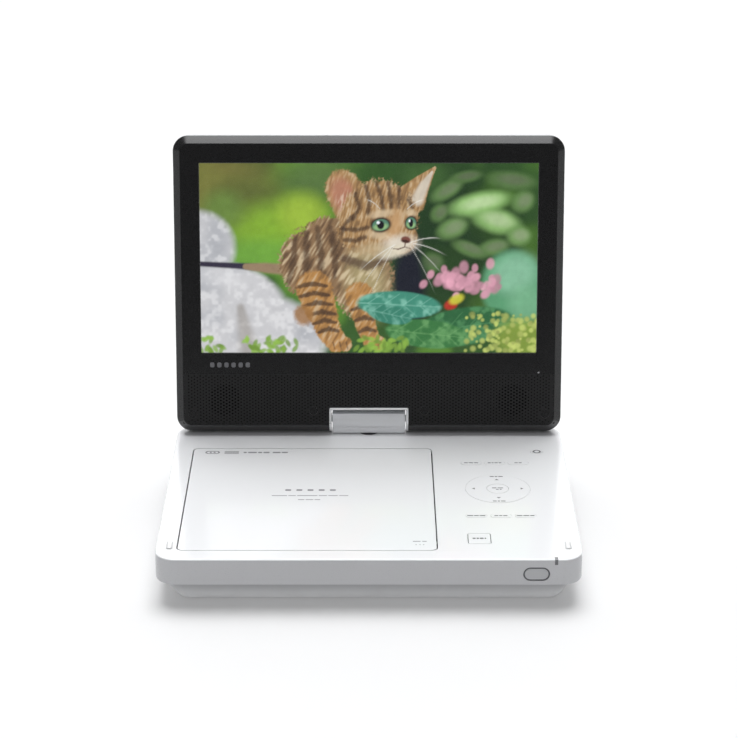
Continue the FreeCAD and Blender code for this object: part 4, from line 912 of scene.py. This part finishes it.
class Canvas:
    """Colours on a grid of points, x from 0 to 1.78 and y from 0 to 1; later layers cover earlier ones."""

    def __init__(self, across, up):
        self.x, self.y = np.meshgrid(np.linspace(0, 1.78, across), np.linspace(0, 1, up))
        self.rgb = np.zeros((up, across, 3))
        self.rng = np.random.default_rng(11)
        self.cloud = 0.6 * self.noise(4) + 0.4 * self.noise(11)
        self.mottle = 0.6 * self.noise(26) + 0.4 * self.noise(60)
        self.grain = 0.5 * self.noise(90) + 0.5 * self.noise(170)

    def turned(self, x, y, degrees):
        """The grid along and across a line at this angle through a point."""
        c, s = math.cos(math.radians(degrees)), math.sin(math.radians(degrees))
        return (self.x - x) * c + (self.y - y) * s, (self.y - y) * c - (self.x - x) * s

    def noise(self, cells, turn=0.0, stretch=1.0):
        along, across = self.turned(0, 0, turn)
        return value_noise(self.rng, along * cells / stretch, across * cells)

    def oval(self, cx, cy, rx, ry, turn=0.0, soft=0.05, ragged=0.0):
        """How much each point is inside an oval, 0 to 1; soft is its edge's width, ragged its unevenness."""
        u, v = self.turned(cx, cy, turn)
        away = np.sqrt((u / rx) ** 2 + (v / ry) ** 2) + ragged * (self.grain - 0.5)
        return 1 - smooth(1 - soft, 1 + soft, away)

    def limb(self, points, soft=0.1, ragged=0.0):
        """How much each point is inside a tube through (x, y, radius) points."""
        near = np.full(self.x.shape, 9.0)
        for (x0, y0, r0), (x1, y1, r1) in zip(points, points[1:]):
            dx, dy = x1 - x0, y1 - y0
            t = np.clip(((self.x - x0) * dx + (self.y - y0) * dy) / (dx * dx + dy * dy), 0, 1)
            away = np.hypot(self.x - x0 - t * dx, self.y - y0 - t * dy)
            near = np.minimum(near, away / (r0 + t * (r1 - r0)))
        return 1 - smooth(1 - soft, 1 + soft, near + ragged * (self.grain - 0.5))

    def lay(self, mask, colour):
        self.rgb += (np.asarray(colour) - self.rgb) * mask[..., None]

    def dab(self, colour, amount, *shape):
        self.lay(amount * self.oval(*shape), colour)

    def stroke(self, colour, amount, points, soft, ragged=0.0):
        self.lay(amount * self.limb(points, soft, ragged), colour)


def shaded(colour, glow):
    return tuple(part * glow for part in colour)


def garden(c):
    c.lay(np.ones_like(c.x), (0.035, 0.1, 0.02))
    c.lay(smooth(0.35, 0.75, c.cloud), (0.1, 0.24, 0.03))
    for colour, *shape in (
            ((0.19, 0.17, 0.045), 0.05, 0.9, 0.34, 0.22), ((0.1, 0.13, 0.03), 0.24, 0.8, 0.16, 0.12),
            ((0.1, 0.18, 0.05), 0.62, 0.93, 0.16, 0.1), ((0.24, 0.44, 0.035), 0.4, 0.66, 0.24, 0.13, 8),
            ((0.16, 0.38, 0.05), 0.34, 0.52, 0.22, 0.08), ((0.14, 0.24, 0.05), 0.12, 0.76, 0.1, 0.09),
            ((0.34, 0.5, 0.05), 0.54, 0.74, 0.12, 0.1), ((0.008, 0.028, 0.01), 1.36, 0.6, 0.4, 0.44),
            ((0.05, 0.12, 0.03), 1.18, 0.93, 0.12, 0.08)):
        c.lay(0.85 * c.oval(*shape, soft=0.65), colour)
    for cx, cy, rx, ry, turn, glow in (
            (1.47, 0.79, 0.15, 0.055, 12, 0.95), (1.56, 0.7, 0.12, 0.06, -14, 0.8),
            (1.33, 0.66, 0.08, 0.05, 24, 0.4), (1.68, 0.62, 0.06, 0.05, 0, 0.5),
            (1.55, 0.56, 0.08, 0.04, 12, 0.3), (1.3, 0.86, 0.09, 0.04, 32, 0.3),
            (1.64, 0.91, 0.12, 0.045, -6, 0.22), (1.42, 0.55, 0.09, 0.035, -22, 0.28),
            (1.22, 0.48, 0.06, 0.05, 0, 0.2), (1.7, 0.8, 0.06, 0.05, 40, 0.35),
            (1.4, 0.93, 0.08, 0.03, 10, 0.2), (1.26, 0.74, 0.05, 0.04, 50, 0.25)):
        c.dab((0.26 * glow + 0.03, 0.46 * glow + 0.07, 0.15 * glow + 0.02), 1, cx, cy, rx, ry, turn, 0.4)
        c.dab(shaded((0.55, 0.72, 0.4), glow), 0.75, cx + 0.01, cy + 0.005, rx * 0.62, ry * 0.55, turn, 0.6)
    stone = np.maximum.reduce([c.oval(-0.02, 0.56, 0.2, 0.19, 0, 0.14),
                               c.oval(0.16, 0.3, 0.3, 0.17, -18, 0.12),
                               c.oval(0.3, 0.1, 0.36, 0.22, -10, 0.12), c.oval(0.05, 0.1, 0.2, 0.3, 0, 0.1)])
    c.lay(stone, (0.6, 0.6, 0.62))
    c.lay(stone * smooth(0.42, 0.78, c.cloud) * 0.6, (0.34, 0.36, 0.4))
    c.lay(stone * smooth(0.45, 0.7, c.mottle) * 0.4, (0.78, 0.78, 0.79))
    c.stroke((0.3, 0.27, 0.24), 0.6, [(0.21, 0.24, 0.02), (0.25, 0.02, 0.05)], 0.7)
    c.dab((0.72, 0.72, 0.74), 0.5, 0.1, 0.4, 0.16, 0.05, -10, 0.7)
    c.stroke((0.03, 0.025, 0.05), 1, [(-0.05, 0.475, 0.012), (0.2, 0.462, 0.016), (0.3, 0.455, 0.018)], 0.4)
    c.stroke((0.3, 0.21, 0.13), 1, [(0.24, 0.458, 0.016), (0.34, 0.452, 0.026), (0.48, 0.44, 0.03)], 0.35)
    c.dab((0.008, 0.01, 0.02), 1, 1.1, 0.34, 0.09, 0.28, 0, 0.45)


TAN, DARK, LIGHT = (0.4, 0.235, 0.1), (0.055, 0.03, 0.02), (0.66, 0.52, 0.34)   # the kitten's coat
MOUTH = (0.1, 0.04, 0.03)


def fur_coat(c, mask, colour, fur, strength=0.75):
    """A coat of fur: its ground colour, with lighter and darker hairs by a streaky noise."""
    c.lay(mask, colour)
    c.lay(mask * smooth(0.5, 0.8, fur) * strength, LIGHT)
    c.lay(mask * smooth(0.52, 0.2, fur) * strength * 0.8, DARK)


def kitten_body(c, fur):
    body = np.maximum.reduce([c.oval(0.6, 0.46, 0.175, 0.2, 30, 0.07, 0.3),
                              c.limb([(0.66, 0.6, 0.12), (0.82, 0.56, 0.15)], 0.08, 0.3),
                              c.oval(0.85, 0.4, 0.165, 0.22, 8, 0.07, 0.3)])
    fur_coat(c, body, (0.27, 0.165, 0.085), fur)
    for x0, y0, x1, y1 in ((0.5, 0.6, 0.46, 0.36), (0.56, 0.64, 0.54, 0.34), (0.62, 0.66, 0.63, 0.36),
                           (0.69, 0.66, 0.71, 0.4)):
        bend = ((x0 + x1) / 2 + 0.012, (y0 + y1) / 2, 0.02)
        c.stroke(DARK, 0.62 * body, [(x0, y0, 0.014), bend, (x1, y1, 0.01)], 0.6, 0.9)
    c.dab((0.44, 0.37, 0.19), 0.75, 0.88, 0.37, 0.105, 0.17, 8, 0.6)
    c.dab((0.72, 0.62, 0.42), 0.6 * smooth(0.45, 0.7, fur), 0.86, 0.37, 0.1, 0.16, 8, 0.6)
    c.stroke((0.1, 0.06, 0.04), 0.8, [(0.76, 0.5, 0.02), (0.88, 0.46, 0.026), (1.0, 0.5, 0.012)], 0.7, 0.8)

    for points, bands in (
            ([(0.84, 0.3, 0.075), (0.87, 0.16, 0.055), (0.9, 0.07, 0.045), (0.94, 0.05, 0.04)],
             ((0.86, 0.24, 0.06), (0.865, 0.18, 0.05), (0.88, 0.12, 0.045))),
            ([(0.6, 0.34, 0.095), (0.64, 0.22, 0.082), (0.68, 0.11, 0.062), (0.72, 0.055, 0.055),
              (0.76, 0.045, 0.04)],
             ((0.585, 0.36, 0.08), (0.6, 0.31, 0.08), (0.62, 0.26, 0.075), (0.64, 0.21, 0.07),
              (0.655, 0.165, 0.06), (0.675, 0.12, 0.05)))):
        leg = c.limb(points, 0.1, 0.25)
        fur_coat(c, leg, (0.46, 0.235, 0.075), fur, 0.6)
        for x, y, r in bands:
            band = [(x - r, y - 0.012, 0.008), (x, y + 0.008, 0.014), (x + r, y - 0.004, 0.008)]
            c.stroke(DARK, 0.8 * leg, band, 0.5, 0.8)
    c.dab((0.33, 0.16, 0.05), 0.9, 0.545, 0.2, 0.05, 0.055, 30, 0.3, 0.3)
    for x in (0.7, 0.735, 0.77):
        c.stroke(DARK, 0.6, [(x, 0.055, 0.004), (x + 0.008, 0.02, 0.003)], 0.5)


def kitten_head(c, fur):
    left_ear = np.maximum(c.oval(0.765, 0.845, 0.098, 0.125, 22, 0.08, 0.2),
                          c.oval(0.8, 0.78, 0.1, 0.1, 0, 0.1))
    fur_coat(c, left_ear, TAN, fur, 0.5)
    c.dab((0.46, 0.2, 0.13), 0.85, 0.755, 0.835, 0.062, 0.092, 20, 0.4)
    c.dab((0.72, 0.56, 0.44), 0.7 * smooth(0.35, 0.7, fur), 0.775, 0.8, 0.05, 0.05, 20, 0.5)
    right_ear = np.maximum(c.limb([(1.12, 0.8, 0.065), (1.18, 0.9, 0.035), (1.235, 0.975, 0.008)], 0.12, 0.2),
                           c.limb([(1.06, 0.83, 0.04), (1.16, 0.91, 0.028), (1.235, 0.975, 0.008)], 0.12))
    fur_coat(c, right_ear, TAN, fur, 0.5)
    c.stroke((0.66, 0.6, 0.5), 0.85, [(1.145, 0.81, 0.032), (1.18, 0.885, 0.024), (1.222, 0.955, 0.006)], 0.4)

    head = np.maximum.reduce([c.oval(0.945, 0.725, 0.2, 0.185, -6, 0.06, 0.25),
                              c.oval(0.88, 0.65, 0.15, 0.125, 0, 0.08, 0.35),
                              c.oval(1.055, 0.61, 0.09, 0.085, 10, 0.08)])
    fur_coat(c, head, TAN, fur, 0.6)
    for stripe in (((0.93, 0.9), (0.955, 0.83), (0.965, 0.76)), ((0.99, 0.9), (1.005, 0.83), (1.01, 0.77)),
                   ((0.875, 0.88), (0.895, 0.8), (0.885, 0.74)), ((1.05, 0.88), (1.05, 0.82), (1.045, 0.77)),
                   ((0.82, 0.84), (0.84, 0.77), (0.81, 0.71)), ((0.885, 0.665), (0.82, 0.65), (0.75, 0.66)),
                   ((0.87, 0.615), (0.82, 0.595), (0.76, 0.6)), ((1.11, 0.86), (1.1, 0.81), (1.12, 0.77)),
                   ((0.8, 0.72), (0.765, 0.68), (0.745, 0.63))):
        c.stroke(DARK, 0.75 * head, [(x, y, 0.011) for x, y in stripe], 0.7, 1.0)
    for colour, amount, *shape in (((0.55, 0.33, 0.16), 0.8, 1.02, 0.67, 0.04, 0.09, -10),
                                   (LIGHT, 0.75, 0.955, 0.735, 0.06, 0.02, 10),
                                   (LIGHT, 0.7, 1.11, 0.74, 0.03, 0.018, -10),
                                   (LIGHT, 0.7, 0.945, 0.625, 0.06, 0.022, -8),
                                   ((0.76, 0.69, 0.58), 0.95, 1.05, 0.575, 0.085, 0.045, 8),
                                   ((0.7, 0.64, 0.5), 0.9, 1.01, 0.535, 0.07, 0.03, 14),
                                   ((0.5, 0.4, 0.24), 0.6, 0.9, 0.545, 0.09, 0.035, 6)):
        c.dab(colour, amount, *shape, 0.6, 0.3)
    for x, y, rx, ry, turn in ((0.952, 0.678, 0.043, 0.03, 8), (1.112, 0.688, 0.026, 0.029, -6)):
        c.dab((0.02, 0.012, 0.01), 1, x, y, rx * 1.3, ry * 1.32, turn, 0.2)
        c.dab((0.1, 0.24, 0.16), 1, x, y, rx, ry, turn, 0.12)
        c.dab((0.3, 0.5, 0.22), 1, x, y - 0.35 * ry, rx * 0.85, ry * 0.55, turn, 0.5)
        c.dab((0.006, 0.006, 0.01), 1, x, y, rx * 0.45, ry * 0.75, 0, 0.2)
        c.dab((0.9, 0.95, 1.0), 1, x - rx * 0.3, y + ry * 0.4, rx * 0.2, ry * 0.25, 0, 0.3)
    c.dab((0.2, 0.07, 0.05), 1, 1.085, 0.6, 0.026, 0.018, -8, 0.25)
    c.dab((0.04, 0.015, 0.012), 0.9, 1.083, 0.592, 0.022, 0.008, -8, 0.4)
    c.stroke(MOUTH, 0.8, [(1.082, 0.585, 0.003), (1.08, 0.562, 0.003), (1.045, 0.55, 0.004),
                          (1.01, 0.555, 0.002)], 0.5)
    c.stroke(MOUTH, 0.7, [(1.08, 0.562, 0.003), (1.11, 0.553, 0.003)], 0.5)
    for x, y, reach, rise in (
            (1.11, 0.585, 0.17, 0.07), (1.12, 0.58, 0.19, -0.02), (1.12, 0.572, 0.17, -0.12),
            (1.11, 0.565, 0.14, -0.22), (1.03, 0.575, -0.2, -0.1), (1.02, 0.57, -0.19, -0.2),
            (1.02, 0.562, -0.15, -0.28), (1.09, 0.76, 0.1, 0.1), (0.95, 0.76, -0.08, 0.1)):
        t = (c.x - x) / reach
        whisker = 1 - smooth(0.001, 0.0042, np.abs(c.y - (y + rise * t - 0.05 * t * t)))
        c.lay(0.6 * whisker * (t > 0) * smooth(1.0, 0.6, t), (0.85, 0.85, 0.8))


def kitten(c):
    body_fur = 0.55 * c.noise(110, 60, 5) + 0.45 * c.noise(60, 50, 4)
    face_fur = 0.6 * c.noise(150, 75, 4) + 0.4 * c.noise(70, 80, 3)
    kitten_body(c, body_fur)
    kitten_head(c, face_fur)


def leaf(c, cx, cy, rx, ry, turn, base, vein):
    """A broad leaf with a mottled blade, four pairs of side veins and a midrib."""
    shape = c.oval(cx, cy, rx, ry, turn, 0.08)
    c.lay(shape, base)
    c.lay(0.6 * shape * smooth(0.4, 0.75, c.mottle), vein)
    ux, uy = rx * math.cos(math.radians(turn)), rx * math.sin(math.radians(turn))
    for k in (-0.75, -0.35, 0.1, 0.5):
        x, y = cx + k * ux, cy + k * uy
        for side in (-1, 1):
            tip = (x + 0.35 * ux - side * 0.9 * ry * uy / rx, y + side * 0.8 * ry + 0.3 * uy, 0.0015)
            c.stroke(vein, 0.45 * shape, [(x, y, 0.003), tip], 0.6)
    c.stroke(vein, 0.5 * shape, [(cx - ux, cy - uy, 0.004), (cx + ux, cy + uy, 0.002)], 0.6)


def foreground(c):
    c.dab((0.1, 0.32, 0.16), 1, 1.66, 0.34, 0.17, 0.2, 15, 0.15)
    c.dab((0.28, 0.56, 0.38), 0.75, 1.66, 0.42, 0.12, 0.1, 25, 0.5)
    c.dab((0.2, 0.46, 0.27), 0.7, 1.72, 0.27, 0.09, 0.09, 15, 0.5)
    for _ in range(46):
        x, y = 1.39 + 0.085 * c.rng.normal(), 0.365 + 0.035 * c.rng.normal()
        r, glow = 0.016 + 0.018 * c.rng.random(), 0.55 + 0.45 * c.rng.random()
        c.dab(shaded((0.86, 0.42, 0.54), glow), 0.8, x, y, r, r * 0.75, 90 * c.rng.random(), 0.35)
    c.dab((0.5, 0.03, 0.02), 0.9, 1.325, 0.255, 0.035, 0.026, 20, 0.3)
    c.dab((0.6, 0.58, 0.05), 0.9, 1.355, 0.285, 0.04, 0.024, 25, 0.4)
    leaf(c, 1.4, 0.14, 0.26, 0.1, 8, (0.025, 0.13, 0.045), (0.1, 0.3, 0.12))
    leaf(c, 1.2, 0.1, 0.22, 0.075, -6, (0.04, 0.18, 0.05), (0.16, 0.38, 0.14))
    leaf(c, 1.05, 0.255, 0.22, 0.072, -3, (0.055, 0.27, 0.19), (0.26, 0.58, 0.46))
    leaf(c, 1.0, 0.205, 0.12, 0.05, -12, (0.04, 0.22, 0.15), (0.2, 0.48, 0.38))
    c.dab((0.24, 0.34, 0.05), 0.85, 1.7, 0.08, 0.14, 0.1, 0, 0.35)
    for _ in range(120):
        x, y = 1.4 + 0.4 * c.rng.random(), 0.01 + 0.2 * c.rng.random() ** 1.3
        r, glow = 0.006 + 0.011 * c.rng.random(), 0.45 + 0.55 * c.rng.random()
        c.dab(shaded((0.6, 0.7, 0.18), glow), 0.8, x, y, r, r, 0, 0.5)
    for x0, x1, count in ((0.2, 0.42, 26), (0.82, 1.1, 34), (-0.02, 0.12, 14), (0.42, 0.56, 8)):
        for _ in range(count):
            x, y = x0 + (x1 - x0) * c.rng.random(), 0.005 + 0.075 * c.rng.random() ** 1.5
            green = shaded((0.28, 0.5, 0.07), 0.5 + 0.5 * c.rng.random())
            c.dab(green, 0.85, x, y, 0.022, 0.011, 180 * c.rng.random(), 0.4)


def painted(across, up):
    c = Canvas(across, up)
    garden(c)
    kitten(c)
    foreground(c)
    c.rgb *= (0.90 + 0.2 * c.mottle)[..., None]
    return np.clip(c.rgb, 0, 1)


def make_screen():
    across, up = 392, 222
    left, low, right, high = (SCREEN[0] + 0.3, SCREEN[1] + 0.3, SCREEN[2] - 0.3, SCREEN[3] - 0.3)
    front, back = LID_HALF - 0.8, BEZEL_BACK
    xs, ys = np.linspace(left, right, across), np.linspace(low, high, up)
    mesh = bmesh.new()
    grid = [[mesh.verts.new((x, y, front)) for x in xs] for y in ys]
    for j in range(up - 1):
        for i in range(across - 1):
            mesh.faces.new((grid[j][i], grid[j][i + 1], grid[j + 1][i + 1], grid[j + 1][i]))
    edge = grid[0][:-1] + [row[-1] for row in grid[:-1]] + grid[-1][:0:-1] + [row[0] for row in grid[:0:-1]]
    under = [mesh.verts.new((v.co.x, v.co.y, back)) for v in edge]
    for k in range(len(edge)):
        n = (k + 1) % len(edge)
        mesh.faces.new((edge[n], edge[k], under[k], under[n]))
    mesh.faces.new(under)
    bmesh.ops.recalc_face_normals(mesh, faces=mesh.faces[:])
    screen = Solids(mesh).finish("screen", "lid", [PICTURE], ON_LID, stands_for=["lcd_glass"], even=False)
    colours = np.zeros((len(screen.data.vertices), 4), np.float32)
    colours[:, 3] = 1
    colours[:across * up, :3] = painted(across, up).reshape(-1, 3)
    layer = screen.data.color_attributes.new("picture", "FLOAT_COLOR", "POINT")
    layer.data.foreach_set("color", colours.ravel())


# ---------------------------------------------------------------- camera, light and floor

def make_stage():
    camera = bpy.data.objects.new("camera", bpy.data.cameras.new("camera"))
    bpy.context.scene.collection.objects.link(camera)
    camera.location = (CAMERA_ASIDE * MM, (FRONT - CAMERA_AWAY) * MM, (TOP + CAMERA_UP) * MM)
    camera.rotation_euler = (math.radians(90 - CAMERA_DOWN), 0, 0)
    camera.data.sensor_width = 36
    camera.data.lens = CAMERA_LENS
    bpy.context.scene.camera = camera
    bpy.context.scene.view_settings.view_transform = "Standard"

    floor_mesh = bmesh.new()
    floor_mesh.faces.new([floor_mesh.verts.new((x, y, 0)) for x, y in FLOOR_CORNERS])
    data = bpy.data.meshes.new("floor")
    floor_mesh.to_mesh(data)
    floor_mesh.free()
    look = new_material("floor_paint")
    place = look.place()
    away = look.add("ShaderNodeSeparateXYZ", "Y", {"Vector": place})
    # pale under the player and dark well in front of it, so that the lid's face mirrors nothing bright
    paint, glow = [look.ramp(away, DARK_BEFORE, PALE_AFTER, FLOOR_FAR, near)
                   for near in (FLOOR_PAINT, FLOOR_GLOW)]
    gloss = look.spread(look.noise(place, 60.0), 0.85, 0.95)
    data.materials.append(look.skin({"Base Color": paint, "Emission Strength": glow,
                                     "Emission Color": (1, 1, 1), "Roughness": gloss}))
    floor = bpy.data.objects.new("floor", data)
    bpy.context.scene.collection.objects.link(floor)
    floor.location.z = -0.2 * MM     # just clear of the feet

    sky = bpy.data.worlds.new("studio")
    bpy.context.scene.world = sky
    light = Wiring(sky)
    way = light.add("ShaderNodeTexCoord", "Generated")

    def facing(direction, start, end, low, high):
        """Light by how nearly a direction agrees with this one; start and end are angles from it."""
        nearness = light.add("ShaderNodeVectorMath", "Value", {0: way, 1: Vector(direction).normalized()},
                             operation="DOT_PRODUCT")
        edges = [math.cos(math.radians(angle)) for angle in (start, end)]
        return light.ramp(nearness, *edges, low, high)

    parts = [facing((0, 0.26, 1), 26, 8, 0.0, OVERHEAD),
             facing((0, 1, 0.75), 46, 16, 0.0, BACKLIGHT),
             facing((0, -1, 0.85), 36, 12, 0.0, FRONT_LIGHT),
             facing((0, 1, 0.15), 125, 40, FRONT_FILL, REAR_FILL)]
    total = parts[0]
    for part in parts[1:]:
        total = light.add("ShaderNodeMath", 0, {0: total, 1: part}, operation="ADD")
    light.feed(light.nodes["Background"], {"Strength": total, "Color": (0.985, 0.99, 1.0)})


# ---------------------------------------------------------------- everything

finish_cad_nodes()
make_stage()
make_top_cover()
make_jack_plate()
make_bottom_case()
make_feet()
make_door()
make_door_marks()
make_keys()
make_nav()
make_power()
make_pads()
make_front_details()
make_hinge()
make_bezel()
make_grille()
make_caps()
make_rear_cover()
make_lid_details()
make_screen()
